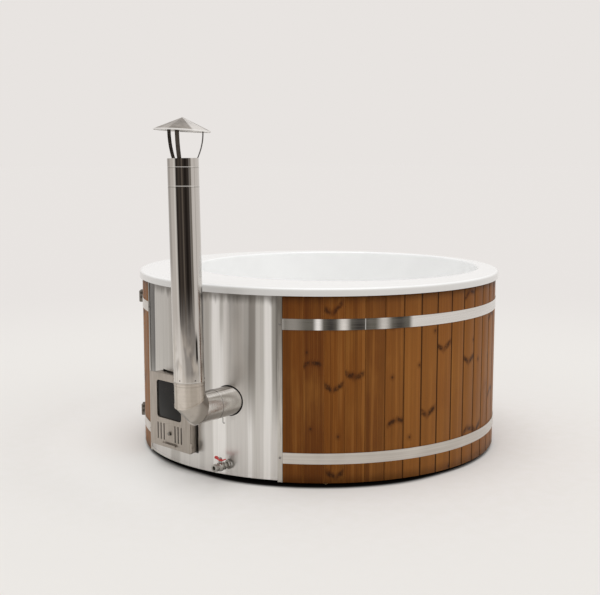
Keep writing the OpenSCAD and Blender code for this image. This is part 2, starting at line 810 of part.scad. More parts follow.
// A pipe from z0 to z1 whose spigot stands up inside the next pipe
module pipe_section(z0, z1, spigot)
  rotate_extrude() polygon([
    [flue_bore, z0], [flue_r, z0], [flue_r, z1],
    [spigot > 0 ? spigot_r : flue_r, z1], [spigot > 0 ? spigot_r : flue_r, z1 + spigot],
    [spigot > 0 ? spigot_r - flue_t : flue_bore, z1 + spigot],
    [spigot > 0 ? spigot_r - flue_t : flue_bore, z1 - 6], [flue_bore, z1 - 6 - flue_t]
  ]);

module elbow_sleeve() color(steel)
  elbow_frame() translate([0, -flue_run, 0]) difference() {
    pipe_section(-flue_r, elbow_rise - seat, spigot_len);
    translate([0, 0, elbow_reach]) half_space(mitre - 90, false);
  }

module chimney_axis() elbow_frame() translate([0, -flue_run, -flue_z]) children();

rivet_z = elbow_top + 14;
rivet_r = 3;
rivets = 6;
module rivet_places() for (i = [0:rivets - 1]) at_azimuth(360 * i / rivets + 8) children();
module chimney_pipe() color(steel)
  chimney_axis() difference() {
    union() {
      pipe_section(elbow_top, pipe_joint_z - seat, spigot_len);
      translate([0, 0, pipe_joint_z - 5]) cylinder(r = flue_r + 0.8, h = 3);
    }
    translate([0, 0, pipe_joint_z - 9]) cylinder(r = flue_bore - 1.2, h = 9);
    rivet_places() translate([0, 0, rivet_z]) along_y(1.8, -flue_bore + 5, -flue_r - 5, $fn = 24);
  }

module chimney_rivets() color(dark_steel)
  chimney_axis() rivet_places() translate([0, 0, rivet_z]) {
    along_y(rivet_r, -flue_r - seat, -flue_r - 1.8, $fn = 24);
    along_y(1.5, -flue_bore, -flue_r - 1, $fn = 24);
  }

module chimney_top() color(steel)
  chimney_axis() pipe_section(pipe_joint_z, cap_joint_z - seat, mouth_z - cap_joint_z - 20);

module cap_collar() color(steel)
  chimney_axis() pipe_section(cap_joint_z, mouth_z, 0);

strap_first = 32;                     // azimuth of the first strap from the flue's direction
strap_step = 116;                     // angle from one strap to the next
lean_az = 135;                        // azimuth of the cone's low side, counted likewise
strap_foot_r = sqrt(pow(flue_bore - seat, 2) - pow(strap_w / 2, 2)) - strap_t;
tail = 17;
// Underside of the leaning cone at azimuth az and radius r
function cone_under(az, r) =
  cap_z - r * tan(cap_lean) * cos(az - lean_az) + cone_h - cone_t - (cone_h - cone_t + 1) * r / (cap_r - 1);
// Middle line of a strap, bowed between its foot and the cone
function strap_line(top) = let (c = 24) [
  for (i = [0:c]) let (s = i / c)
    [strap_foot_r + (strap_top_r - strap_foot_r) * s + strap_bow * 4 * s * (1 - s),
     mouth_z + (top - mouth_z) * s]
];
module strap(az) {
  out = norm([strap_top_r + strap_t, strap_w / 2]);
  side = asin(strap_w / 2 / out);
  top = min(cone_under(az - side, out), cone_under(az + side, out)) - 2 * seat;
  line = concat([[strap_foot_r, mouth_z - tail]], strap_line(top));
  back = [for (i = [len(line) - 1:-1:0]) line[i] + [strap_t, 0]];
  at_azimuth(az) translate([-strap_w / 2, 0, 0]) rotate([90, 0, 90]) mirror([1, 0, 0])
    linear_extrude(strap_w) polygon(concat(line, back));
}
module cap_straps() color(dark_steel)
  chimney_axis() for (i = [0:2]) strap(strap_first + strap_step * i);

module cap_cone() color(steel)
  chimney_axis() translate([0, 0, cap_z])
    rotate([0, 0, lean_az]) rotate([cap_lean, 0, 0]) rotate_extrude()
      polygon([
        [0, cone_h - cone_t], [cap_r - 1, -1], [cap_r - 1, -4], [cap_r, -4],
        [cap_r, 0], [0, cone_h]
      ]);

module flue_seal() color("#1d1b19")
  difference() {
    intersection() {
      arc_bar(panel_left, panel_right, panel_in - 8, panel_in - seat, flue_z - far / 20, flue_z + far / 20);
      flue_frame() along_y(flue_r + 3 * flue_gap, 100, -100);
    }
    flue_frame() along_y(flue_r + seat, 110, -110);
  }

// ---- water ----
function basin_wall_y(x, r) = basin_shift - sqrt(r * r - x * x);
function wall_r(z) = z > bench_z
  ? bench_wall_r + (basin_r - bench_wall_r) * (z - bench_z) / (rim_top - bench_z)
  : footwell_floor_r + (footwell_r - footwell_floor_r) * (z - footwell_z) / (bench_z - footwell_z);

module water_pipe(p) {
  y1 = basin_wall_y(p[0], wall_r(p[1])) - 2 - water_r * abs(p[0]) / wall_r(p[1]);
  translate([p[0], 0, p[1]]) difference() {
    along_y(water_r, y1, -stove_rear - stove_t);
    along_y(water_r - water_t, y1 + eps, -stove_rear - stove_t - eps);
  }
}
module hot_pipe() color(steel) water_pipe(water_ports()[0]);
module return_pipe() color(steel) water_pipe(water_ports()[1]);

grille_r = 34;
module wall_grilles() color(white)
  for (p = water_ports()) {
    r = wall_r(p[1]);
    y1 = basin_wall_y(p[0], r) + grille_r * grille_r / 2 / r + 2 * seat;
    az = atan2(p[0], basin_shift - y1);
    draft = atan(wall_r(p[1] + 1) - r);
    translate([p[0], y1, p[1]]) at_azimuth(az) rotate([draft - 90, 0, 0]) difference() {
      cylinder(r = grille_r, h = 7);
      for (x = [-18, -9, 0, 9, 18]) translate([x - 2, -14, -eps]) cube([4, 28, 10]);
    }
  }

drain_y = -240;                      // where the pipe turns across the tub
turn_r = 50;                         // radius of its two turns
drop_r = 20;                         // radius of the bend under the strainer
module drain_ring() difference() { circle(r = drain_r); circle(r = drain_bore); }
module drain_turn(r) rotate_extrude(angle = 90) translate([r, 0]) drain_ring();
module drain_run(h) linear_extrude(h) drain_ring();
module drain_pipe() color("#d8d6d2") {
  x1 = tub_r * sin(valve_az);
  y1 = -tub_r * cos(valve_az) - flange_at + seat;
  translate([0, 0, valve_z]) {
    translate([0, basin_shift - drop_r, drop_r]) rotate([-90, 0, 90]) drain_turn(drop_r);
    translate([0, basin_shift - drop_r, 0]) rotate([90, 0, 0])
      drain_run(basin_shift - drop_r - drain_y - turn_r);
    translate([turn_r, drain_y + turn_r, 0]) rotate([0, 0, 180]) drain_turn(turn_r);
    translate([turn_r, drain_y, 0]) rotate([0, 90, 0]) drain_run(x1 - 2 * turn_r);
    translate([x1 - turn_r, drain_y - turn_r, 0]) drain_turn(turn_r);
    translate([x1, drain_y - turn_r, 0]) rotate([90, 0, 0]) drain_run(drain_y - turn_r - y1);
  }
}

// The valve, in its own frame with -Y outwards. Its outlet is the bore that a hose fits.
flange_r = 24;
flange_at = 9;                       // from the panel's outer face to the flange
neck_at = 21;
ball_at = -62;
body_end = 103;
outlet_r = 10;
outlet_at = -80;                     // where the outlet's bore ends at the ball's seat
ball_bore = 9;
stem_r = 5;
module valve_flange() color(steel)
  valve_frame() difference() {
    union() {
      along_y(flange_r, -flange_at, -flange_at - 3);
      along_y(flange_r - 4, -flange_at - 3, -neck_at + seat, $fn = 6);
    }
    along_y(drain_bore, 1, -neck_at - eps);
  }

module valve_body() color(steel)
  valve_frame() difference() {
    union() {
      along_y(15, -neck_at, -34);
      along_y(20, -34, -44, $fn = 6);
      along_y(17, -44, -84);
      translate([0, ball_at, 0]) sphere(r = 23);
      along_y(20, -84, -91, $fn = 6);
      along_y(18.5, -91, -body_end);
      translate([0, ball_at, 0]) cylinder(r = 9, h = 31);
    }
    along_y(drain_bore, 0, -50);
    translate([0, ball_at, 0]) sphere(r = 14.2);
    along_y(ball_bore, ball_at, outlet_at - eps);
    along_y(outlet_r, outlet_at, -body_end - eps);
    translate([0, ball_at, 0]) cylinder(r = stem_r + 0.1, h = 40);
  }

module valve_ball() color("#dddddd")
  valve_frame() translate([0, ball_at, 0]) {
    difference() {
      sphere(r = 13.9);
      rotate([0, 90, 0]) cylinder(r = ball_bore, h = 40, center = true);
    }
    translate([0, 0, 13]) cylinder(r = stem_r, h = 33);
  }

wing = 31;
handle_z = 31 + seat;
module valve_handle() color("#c02626")
  valve_frame() translate([0, ball_at, handle_z]) difference() {
    union() {
      cylinder(r = 10, h = 8);
      for (s = [0, 180]) rotate([0, 0, s]) {
        translate([6, -5, 0]) cube([12, 10, 6]);
        translate([14, 0, 2]) rotate([0, -25, 0]) {
          translate([0, -4, -2]) cube([wing - 16, 8, 5]);
          translate([wing - 16, 0, -2]) cylinder(r = 11, h = 5);
        }
      }
    }
    translate([0, 0, -eps]) cylinder(r = stem_r + 0.1, h = 20);
  }

module handle_nut() color(steel)
  valve_frame() translate([0, ball_at, handle_z + 8 + seat]) difference() {
    cylinder(r = 8, h = 5, $fn = 6);
    translate([0, 0, -eps]) cylinder(r = stem_r + 0.1, h = 10);
  }

liner();
drain_strainer();
boards_right();
boards_back_right();
boards_back_left();
boards_left();
upper_band();
upper_band_right();
upper_band_short();
lower_band();
lower_band_short();
tension_bolts();
tension_nuts();
inner_hoops();
frame_posts();
panel_posts();
bench_posts();
footwell_pads();
floor_disc();
middle_beam();
side_beams();
front_panel();
panel_strips();
strip_screws();
water_jacket();
fire_chamber();
fire_grate();
ash_pan();
stove_collar();
stove_feet();
heat_shield();
hinge_pins();
door_plate();
door_glass();
glass_frame();
door_seal();
door_pull();
air_slider();
air_knob();
hot_pipe();
return_pipe();
wall_grilles();
flue_bend();
flue_seal();
elbow_foot();
elbow_gore();
elbow_sleeve();
chimney_pipe();
chimney_rivets();
chimney_top();
cap_collar();
cap_straps();
cap_cone();
drain_pipe();
valve_flange();
valve_body();
valve_ball();
valve_handle();
handle_nut();
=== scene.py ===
# %% [markdown]
# # A wood-fired hot tub
# The tub is a ring of stained boards round a moulded white liner. A curved steel
# panel closes the ring at the front, with a stove behind it and a flue that leaves
# through an elbow. The CAD model holds every piece at its true size. Here the
# pieces get their finishes, and those whose form a photograph would show more
# finely are modelled again over the same measures.

# %% Load the fixed frame
import json
import math

import bmesh
import bpy
from mathutils import Matrix, Vector


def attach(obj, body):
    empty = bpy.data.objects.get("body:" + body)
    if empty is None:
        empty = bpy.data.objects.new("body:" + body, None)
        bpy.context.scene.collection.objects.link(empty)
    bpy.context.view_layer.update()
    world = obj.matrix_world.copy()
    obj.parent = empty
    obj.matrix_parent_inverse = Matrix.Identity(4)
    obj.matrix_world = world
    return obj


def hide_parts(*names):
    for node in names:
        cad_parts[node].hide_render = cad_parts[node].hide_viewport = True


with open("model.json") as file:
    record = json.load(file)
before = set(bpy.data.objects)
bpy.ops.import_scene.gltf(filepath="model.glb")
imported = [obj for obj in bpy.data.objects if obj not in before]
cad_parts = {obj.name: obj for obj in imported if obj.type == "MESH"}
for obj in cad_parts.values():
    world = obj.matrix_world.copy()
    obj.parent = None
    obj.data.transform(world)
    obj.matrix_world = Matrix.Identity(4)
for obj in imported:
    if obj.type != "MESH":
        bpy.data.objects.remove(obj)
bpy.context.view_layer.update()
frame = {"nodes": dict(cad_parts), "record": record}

# %% [markdown]
# ## The camera
# The picture was taken from a little above the rim, far enough away that the round
# rim looks almost flat. The place and the lens below were worked out from the
# ellipses of the rim and the boards' lower edge.

# %% Camera
EYE = (4.129, -4.275, 1.600)
HEADING = 45.02
PITCH = 82.30
LENS = 63.41

camera = bpy.data.objects.new("camera", bpy.data.cameras.new("camera"))
bpy.context.scene.collection.objects.link(camera)
camera.location = EYE
camera.rotation_euler = (math.radians(PITCH), 0, math.radians(HEADING))
camera.data.lens = LENS
camera.data.sensor_width = 36
bpy.context.scene.camera = camera

# %% [markdown]
# ## The measures
# The CAD file can't be read here, so its main sizes are repeated, in metres.

# %% Measures
TUB_R = 0.985
PANEL_LEFT, PANEL_RIGHT = -22.5, 33.9
BOARDS = 52
BOARD_STEP = (360 - PANEL_RIGHT + PANEL_LEFT) / BOARDS
RIM_R, RIM_TOP, SKIRT, SHELL = 1.000, 0.975, 0.039, 0.006
BASIN_Y, BASIN_R, BENCH_WALL_R = 0.145, 0.800, 0.775
FOOTWELL_R, FOOTWELL_FLOOR_R = 0.470, 0.455
BENCH_Z, FOOTWELL_Z = 0.430, 0.120
DRAIN_HOLE = 0.0183
SEAT = 0.0003
BOARD_LOW, BOARD_HIGH = 0.020, 0.958
PANEL_T, PANEL_IN, PANEL_LOW, HEM_H = 0.0015, 0.9835, 0.028, 0.014
STRIP_W, STRIP_T = 0.025, 0.002
BAND_H, BAND_T = 0.054, 0.001
BAND_R = TUB_R / math.cos(math.radians(BOARD_STEP / 2)) + SEAT
UPPER_BAND_Z, LOWER_BAND_Z = 0.799, 0.142
TENSION_AZ, BAND_JOINT_AZ = -46.0, 57.0
EAR_GAP, EAR_OUT, EAR_T = 0.036, 0.030, 0.003
BOLT_RISE = 0.013
FLUE_AZ, FLUE_Z, FLUE_TURN, FLUE_LEAN, FLUE_RUN = 17.5, 0.405, 5.6, 1.2, 0.265
FLUE_R, FLUE_T, ELBOW_REACH, ELBOW_TOP = 0.0725, 0.0015, 0.046, 0.545
FLUE_GAP = 0.005
PIPE_JOINT, CAP_JOINT, MOUTH = 1.456, 1.544, 1.584
CAP_Z, CAP_R, CONE_H, CONE_T, CAP_LEAN, LEAN_AZ = 1.711, 0.132, 0.059, 0.0012, 4, 135
CAP_RISE = 1.32  # from the flue's height to the cone's

# %% [markdown]
# ## Shader maths
# A finish is a small calculation over the surface. Writing it as Python sums keeps
# it readable: a Wire holds one socket, and adding two of them adds a Math node. Any
# other node comes from the method named node, which takes the node's type, its
# settings and what its sockets are given.


# %% Wires
class Wire:
    """One output socket in a node tree, usable in sums."""

    def __init__(self, tree, socket=None):
        self.tree, self.socket = tree, socket

    def node(self, kind, inputs=(), out=0, **settings):
        """Adds a node of any type and returns a wire from one of its outputs."""
        made = self.tree.nodes.new("ShaderNode" + kind)
        for name, value in settings.items():
            setattr(made, name, value)
        for name, value in dict(inputs).items():
            if isinstance(value, Wire):
                self.tree.links.new(value.socket, made.inputs[name])
            else:
                made.inputs[name].default_value = value
        return Wire(self.tree, made.outputs[out])

    def parts(self, *which, kind="SeparateXYZ"):
        """Components of a vector, or with SeparateColor of a colour, by their number."""
        return [self.node(kind, {0: self}, out=i) for i in which]

    def maths(self, operation, *values):
        return self.node("Math", dict(enumerate(values)), operation=operation)

    def __add__(self, other):
        return self.maths("ADD", self, other)

    def __sub__(self, other):
        return self.maths("SUBTRACT", self, other)

    def __rsub__(self, other):
        return self.maths("SUBTRACT", other, self)

    def __mul__(self, other):
        return self.maths("MULTIPLY", self, other)

    def __truediv__(self, other):
        return self.maths("DIVIDE", self, other)

    def __rtruediv__(self, other):
        return self.maths("DIVIDE", other, self)

    def __gt__(self, other):
        return self.maths("GREATER_THAN", self, other)

    def __abs__(self):
        return self.maths("ABSOLUTE", self)

    __radd__ = __add__
    __rmul__ = __mul__


# %% [markdown]
# ## Colours and patterns
# Each helper below adds one or two nodes: a mix of two colours, a soft step, a noise,
# a stretched vector. Colours are written from 0 to 255, as a picture shows them,
# because that is how they are read off a real surface.


# %% Colours and patterns
def linear(r, g, b):
    """A colour as an 8-bit picture shows it, turned into the linear one that a socket takes."""
    return tuple(((v / 255 + 0.055) / 1.055) ** 2.4 if v > 10 else v / 3294 for v in (r, g, b)) + (1,)


def mix(fac, a, b):
    """A colour between a and b, of which each is a wire, a linear colour or an 8-bit triple."""
    a, b = (linear(*v) if isinstance(v, tuple) and len(v) == 3 else v for v in (a, b))
    return fac.node("Mix", {0: fac, 6: a, 7: b}, out=2, data_type="RGBA")


def step(value, low, high):
    """Rises smoothly from 0 at low to 1 at high."""
    return value.node(
        "MapRange", {"Value": value, "From Min": low, "From Max": high}, interpolation_type="SMOOTHSTEP"
    )


def fade(value, low, high):
    """Falls smoothly from 1 at low to 0 at high."""
    return 1.0 - step(value, low, high)


def noise(vector, scale=1.0, detail=2.0, roughness=0.5):
    given = {"Vector": vector, "Scale": scale, "Detail": detail, "Roughness": roughness}
    return vector.node("TexNoise", given)


def stretched(wire, x, y, z):
    """A vector scaled by a different factor along each axis, so that a pattern becomes a streak."""
    return wire.node("VectorMath", {0: wire, 1: (x, y, z)}, operation="MULTIPLY")


def brushed(place, x, y, z):
    """Fine streaks, close together along the axes with the large factors."""
    return noise(stretched(place, x, y, z), 1.0, 3.0, 0.6)


def joined(x, y, z):
    return x.node("CombineXYZ", {0: x, 1: y, 2: z})


def from_axis(place):
    """The distance from the tub's axis."""
    return place.node("VectorMath", {0: stretched(place, 1.0, 1.0, 0.0)}, out="Value", operation="LENGTH")


def layered(tone, coats):
    """Lays coats over a tone, each with its own cover and colour."""
    for cover, shade in coats:
        tone = mix(cover, tone, shade)
    return tone


# %% [markdown]
# ## A material
# Each finish is a function that gets the place on the piece and answers with what the
# shader's sockets are given. It reads Object coordinates, so that a pattern stays
# where it is on the object and runs on from piece to piece.

# %% Materials
MATERIALS = {}


def material(name, paint):
    """Makes a material: paint gets Object coordinates and says what each socket is given."""
    made = bpy.data.materials.new(name)
    made.use_nodes = True
    tree = made.node_tree
    shader = tree.nodes["Principled BSDF"]
    place = Wire(tree).node("TexCoord", out="Object")
    for socket, value in paint(place).items():
        if isinstance(value, Wire):
            tree.links.new(value.socket, shader.inputs[socket])
        else:
            shader.inputs[socket].default_value = value
    MATERIALS[name] = made
    return made


def bump(height, strength, distance):
    return height.node("Bump", {"Height": height, "Strength": strength, "Distance": distance}, out="Normal")


# %% [markdown]
# ## The boards
# Softwood, stained brown: each board has its own tone, fine upright fibres, and here
# and there the two dark arms of a branch that the saw has cut along its length.
# The board's number comes from the azimuth, so that one material serves the whole
# ring and no two boards repeat. A thin coat of oil makes the boards brighter where
# they turn away from the eye.

# %% Wood
BOARD_PITCH = math.radians(BOARD_STEP)
HALF_BOARD = BOARD_PITCH * TUB_R / 2
BRANCH_ROW = 0.36  # one branch at most in this height of each board
KNOT_W, KNOT_H = 0.095, 0.34  # and one small knot at most in a cell of this size


def board_wood(place):
    x, y, z = place.parts(0, 1, 2)
    azimuth = place.maths("ARCTAN2", x, y * -1.0)
    turned = place.maths("FLOORED_MODULO", azimuth - math.radians(PANEL_RIGHT), 2 * math.pi) / BOARD_PITCH
    number = place.maths("FLOOR", turned)
    across = (turned - number - 0.5) * (BOARD_PITCH * TUB_R)
    own = place.node("TexWhiteNoise", {"W": number}, out="Value", noise_dimensions="1D")
    own2 = place.node("TexWhiteNoise", {"W": number + 71.3}, out="Value", noise_dimensions="1D")

    def grain(fine, tall, shift, detail=2.0, roughness=0.5, bend=0.0):
        return noise(joined((across + bend) * fine, z * tall, number * shift), 1.0, detail, roughness)

    # spike knots: a branch cut along its length leaves two dark arms that rise from the middle
    row = z / BRANCH_ROW + own2 * 17.0
    branch = joined(number, place.maths("FLOOR", row), 0.0)
    seed = place.node("TexWhiteNoise", {"Vector": branch}, out="Color")
    exists, shift, lean = seed.parts(0, 1, 2, kind="SeparateColor")
    rough = grain(56.0, 40.0, 1.0, 4.0, 0.7)
    sway = grain(22.0, 9.0, 2.3) - 0.5
    dx = across + (shift - 0.5) * 0.034
    reach = abs(dx)
    dz = (place.maths("FRACT", row) - 0.3 - shift * 0.4) * BRANCH_ROW
    dz = dz * place.maths("SIGN", lean - 0.38) - dx * (lean - 0.5) * 0.7
    off = abs(dz - reach * (0.35 + lean * 0.5) + sway * 0.020 + (rough - 0.5) * 0.012)
    has_arms = step(exists, 0.55, 0.59)
    span = step(reach, 0.000, 0.014) * fade(reach, 0.036, 0.064)
    thick = 0.013 + lean * 0.013
    arms = fade(off, thick * 0.15, thick) * span * has_arms * step(rough, 0.34, 0.58)
    halo = fade(off, 0.002, 0.030) * fade(reach, 0.036, 0.066) * has_arms

    # a few small round knots
    cell = joined(across / KNOT_W + own * 31.0, z / KNOT_H + own2 * 17.0, number)
    near, pick_seed = (
        place.node("TexVoronoi", {"Vector": cell, "Scale": 1.0}, out=out, voronoi_dimensions="2D")
        for out in ("Position", "Color")
    )
    has_knot = pick_seed.parts(1, kind="SeparateColor")[0] > 0.72
    kx, kz = cell.node("VectorMath", {0: cell, 1: near}, operation="SUBTRACT").parts(0, 1)
    kx, kz = kx * KNOT_W, kz * KNOT_H
    knot_off = place.maths("SQRT", kx * kx + kz * kz * 0.6) + (rough - 0.5) * 0.006
    knot = fade(knot_off, 0.002, 0.0075) * has_knot
    knot_halo = fade(knot_off, 0.004, 0.022) * has_knot

    # fine upright fibres and slow clouds of tone
    fibre = grain(420.0, 9.0, 1.0, 3.0, 0.6)
    bend = halo * 0.006 + (grain(6.0, 1.4, 1.0) - 0.5) * 0.012
    streak = grain(150.0, 0.8, 1.9, 4.0, 0.7, bend)
    broad = grain(34.0, 0.7, 3.1, bend=bend)
    cloud = grain(7.0, 3.4, 5.3, 3.0)

    # painted light: more on the right and a little on the left, less near the rim and the floor
    to_right = step(azimuth, math.radians(48), math.radians(78))
    lit_left = fade(abs(azimuth + math.radians(34)), math.radians(10), math.radians(38))
    edge = step(abs(across), HALF_BOARD - 0.007, HALF_BOARD - 0.001)
    tone = layered(mix(own, (98, 53, 17), (124, 73, 25)), [
        (step(own2, 0.6, 1.0) * 0.6, (108, 55, 24)),
        (step(cloud, 0.45, 0.75) * 0.6, (140, 91, 38)),
        (step(broad, 0.46, 0.62) * 0.45, (86, 47, 15)),
        (fade(broad, 0.34, 0.44) * 0.4, (156, 104, 50)),
        (step(streak, 0.50, 0.66) * 0.36, (76, 40, 12)),
        (fade(streak, 0.34, 0.47) * 0.34, (158, 104, 48)),
        (step(fibre, 0.4, 0.8) * 0.25, (66, 35, 11)),
        (to_right * 0.45, (160, 106, 52)),
        (lit_left * 0.22, (196, 144, 86)),
        (halo * 0.5 + knot_halo * 0.4, (78, 40, 14)),
        (place.maths("MAXIMUM", arms * 0.8, knot * 0.65), (38, 21, 10)),
        (step(z, 0.55, 0.95) * 0.3, (86, 40, 8)),
        (step(z, 0.89, 0.955) * 0.6, (42, 20, 6)),
        (fade(z, 0.02, 0.075) * 0.45, (40, 20, 7)),
        # darker joints on the right, and elsewhere a painted highlight along the edges
        (edge * to_right * 0.85, (36, 18, 7)),
        (edge * (1.0 - to_right) * 0.26, (170, 112, 56)),
    ])
    return {
        "Base Color": tone,
        "Roughness": 0.46 + fibre * 0.14 - arms * 0.08,
        "Specular IOR Level": 0.0,
        "Coat Weight": 0.5,
        "Coat Roughness": 0.3,
        "Coat IOR": 1.25,
        "Normal": bump(fibre * 0.5 + streak * 0.3 + arms * 0.6, 0.35, 0.0006),
    }


def plain_timber(place):
    grain = noise(stretched(place, 60, 60, 4), 1.0, 3.0)
    ring = noise(stretched(place, 14, 14, 1.4))
    tone = mix(step(grain, 0.35, 0.75), (201, 166, 120), (176, 136, 90))
    tone = mix(step(ring, 0.5, 0.7) * 0.5, tone, (156, 114, 70))
    return {"Base Color": tone, "Roughness": 0.62 + grain * 0.15, "Normal": bump(grain, 0.3, 0.0008)}


material("stained_board", board_wood)
material("plain_timber", plain_timber)

# %% [markdown]
# ## Steels
# One recipe serves the plain sheet metal. Rolled sheet shows fine streaks along one
# direction, and slow patches where the finish is duller, so both its colour and its
# roughness wander. What differs is the tone, the gloss and the way the streaks run.
# The bright parts have recipes of their own: what they would mirror is painted on as
# light and dark streaks, each at its angle about the part's axis. This is a shortcut
# with a price. Real reflections come from the shader and the lights, and move with
# the eye. These stay on the metal, so they look right only from about the side that
# the picture was taken from, and are plain stripes from any other.


# %% Metal recipe
def metal(tone, roughness, fine, strength, depth=0.0002):
    """What bare metal gives to the shader's sockets."""
    normal = bump(fine, strength, depth)
    return {"Base Color": tone, "Metallic": 1.0, "Roughness": roughness, "Normal": normal}


def sheet_metal(tone, dull, gloss, streaks):
    """Metal with streaks: tone and dull are its colours, gloss its range of roughness."""

    def paint(place):
        fine = brushed(place, *streaks)
        patch = noise(place, 3.1, 3.0, 0.55)
        smudge = noise(place, 11.0, 4.0, 0.6)
        shade = mix(step(fine, 0.3, 0.75) * 0.5 + step(patch, 0.4, 0.7) * 0.35, tone, dull)
        low, high = gloss
        return metal(shade, low + (fine * 0.45 + patch * 0.25 + smudge * 0.3) * (high - low), fine, 0.25)

    return paint


def angle_about(place, x, y, lean_x=0.0, lean_y=0.0, from_z=0.0, zero=0.0):
    """Degrees about an upright axis, which may lean, measured from a heading."""
    px, py, pz = place.parts(0, 1, 2)
    rise = pz - from_z
    dx = px - x - rise * lean_x
    dy = py - y - rise * lean_y
    return place.maths("ARCTAN2", dy, dx) * (180 / math.pi) - zero


def streaked(value, tone, marks, soft=0.45):
    """Lays streaks over a tone: each mark is a middle, a half width, a colour and a strength."""
    for middle, half, shade, strength in marks:
        near = fade(abs(value - middle), half * soft, half)
        tone = mix(near * strength, tone, shade)
    return tone


# %% [markdown]
# ## The panel's sheet
# Rolled stainless sheet is half bright, and its fine lines run upright. Its light and
# dark upright streaks are painted reflections, laid by the azimuth, which keeps them
# upright on the curve of the panel.


# %% The panel's sheet
def rolled_panel(place):
    """Half-bright sheet with soft upright streaks of painted reflection, and the rim's painted shadow along
    its top.
    """
    x, z = place.parts(0, 2)
    wander = noise(joined(x * 3.0, z * 1.6, 0.0))
    around = angle_about(place, 0.0, 0.0, zero=-90.0) + (wander - 0.5) * 1.4
    high = step(z, 0.22, 0.62)
    middle = fade(z, 0.62, 0.86)
    # painted reflections: a tone that darkens higher up, and light and dark upright streaks
    tone = mix(high, (212, 209, 205), (194, 191, 186))
    tone = streaked(around, tone, [
        (13.2, 1.8, (238, 236, 233), 1.0),
        (15.0, 1.9, (238, 236, 233), middle),
        (29.6, 1.5, (238, 236, 233), 0.9),
        (20.3, 3.2, (246, 244, 241), high * 0.62),
        (31.6, 1.0, (150, 146, 140), high * 0.8),
        (26.4, 1.3, (206, 203, 198), 0.7),
        (-4.5, 3.2, (174, 170, 164), 0.7),
        (10.0, 1.4, (174, 170, 164), high),
        (16.8, 1.4, (228, 225, 221), high),
        (24.2, 0.9, (232, 230, 227), 1.0 - high),
        (-19.4, 3.4, (66, 62, 57), high * 0.75 + 0.15),
        (-17.0, 0.7, (40, 35, 35), high * 0.8),
        (7.7, 1.5, (58, 54, 49), high * 0.85 + 0.1),
        (24.9, 1.5, (142, 137, 131), high * 0.9),
        (33.2, 1.7, (104, 100, 94), high * 0.9),
    ])
    # the shadow ends in ragged tongues
    ragged = noise(joined(around * 0.5, 0.0, 3.0))
    fine = brushed(place, 90, 90, 1.2)
    smudge = noise(place, 9.0, 4.0, 0.6)
    tone = layered(tone, [
        (step(z + (ragged - 0.5) * 0.09, 0.880, 0.930) * 0.72, (88, 83, 77)),
        (step(fine, 0.35, 0.8) * 0.2, (150, 146, 141)),
    ])
    return metal(tone, 0.24 + fine * 0.1 + smudge * 0.1, fine, 0.2)


# %% [markdown]
# ## The pipe's polish
# A polished tube shows narrow light and dark bands along its length. Here they are
# painted reflections, laid by the angle about the pipe's own axis, which leans a
# little, and change slowly with the height. The part that lies down has a painted
# highlight along its top, so it has a recipe of its own.


# %% The pipe's polish
def polished_pipe(place):
    """Polished tube: painted reflections as wide dark bands between light edges, which break into blots low
    down.
    """
    (z,) = place.parts(2)
    wander = noise(joined(z * 1.3, 0.0, 0.0))
    around = angle_about(place, *PIPE_FOOT, *PIPE_LEAN, FLUE_Z, zero=CAMERA_SIDE) + (wander - 0.5) * 3.0
    around = place.maths("WRAP", around, -90.0, 90.0)
    high = step(z, 0.66, 1.02)
    low = fade(z, 0.60, 0.90)
    below_rim = fade(z, 0.97, 1.01)
    tone = mix(step(around, 0.0, 40.0), (194, 189, 183), (204, 200, 195))
    tone = streaked(around, tone, [
        (-76.0, 26.0, (146, 141, 135), step(z, 0.98, 1.15) * 0.85),
        (-34.0, 6.0, (222, 219, 214), 0.6),
        (-42.0, 22.0, (230, 226, 221), low),
    ])
    tone = streaked(around - low * 18.0, tone, [(-4.0, 30.0, (40, 33, 28), high * 0.5 + 0.47)], 0.72)
    tone = streaked(around, tone, [
        (-5.5, 3.4, (92, 84, 76), high),
        (-17.0, 2.6, (70, 62, 55), high * 0.8),
        (7.0, 6.0, (18, 14, 12), high * 0.7),
        (-26.0, 3.0, (16, 12, 10), high * 0.7),
        (25.0, 5.0, (116, 111, 104), high),
        (32.5, 5.5, (22, 18, 15), step(z, 0.625, 0.665) * fade(z, 0.73, 0.81)),
        (44.0, 2.0, (150, 145, 139), 0.6),
        (76.0, 14.0, (48, 44, 40), below_rim * 0.95),
    ])
    # painted reflections low down: light and dark blots, and a painted highlight just above the sleeve
    light_blots, dark_blots = (
        noise(joined(around * 0.035, z * 9.0, seed), roughness=0.45) for seed in (0.0, 7.0)
    )
    tone = layered(tone, [
        (step(light_blots, 0.45, 0.68) * low * 0.5, (214, 204, 191)),
        (step(dark_blots, 0.5, 0.72) * low * 0.45, (92, 82, 71)),
        (fade(z, 0.555, 0.60) * 0.35, (216, 209, 200)),
    ])
    # each joint shows as a dark line with a thin painted highlight over it, stronger on the side that faces
    # the camera
    facing = fade(abs(around), 30.0, 52.0)
    joints = (PIPE_JOINT - 0.0025, 0.0028), (CAP_JOINT - 0.0025, 0.0022), (ELBOW_TOP + 0.002, 0.002)
    for joint, wide in joints:
        tone = layered(tone, [
            (fade(abs(z - joint), wide * 0.4, wide) * 0.38, (66, 62, 58)),
            (fade(abs(z - joint - wide * 1.8), wide * 0.3, wide) * (facing * 0.5 + 0.15), (228, 225, 221)),
        ])
    fine = brushed(place, 120, 120, 1.5)
    smudge = noise(place, 16.0, 4.0, 0.6)
    tone = mix(step(fine, 0.4, 0.8) * 0.1, tone, (90, 84, 78))
    return metal(tone, 0.07 + fine * 0.05 + smudge * 0.06, fine, 0.15)


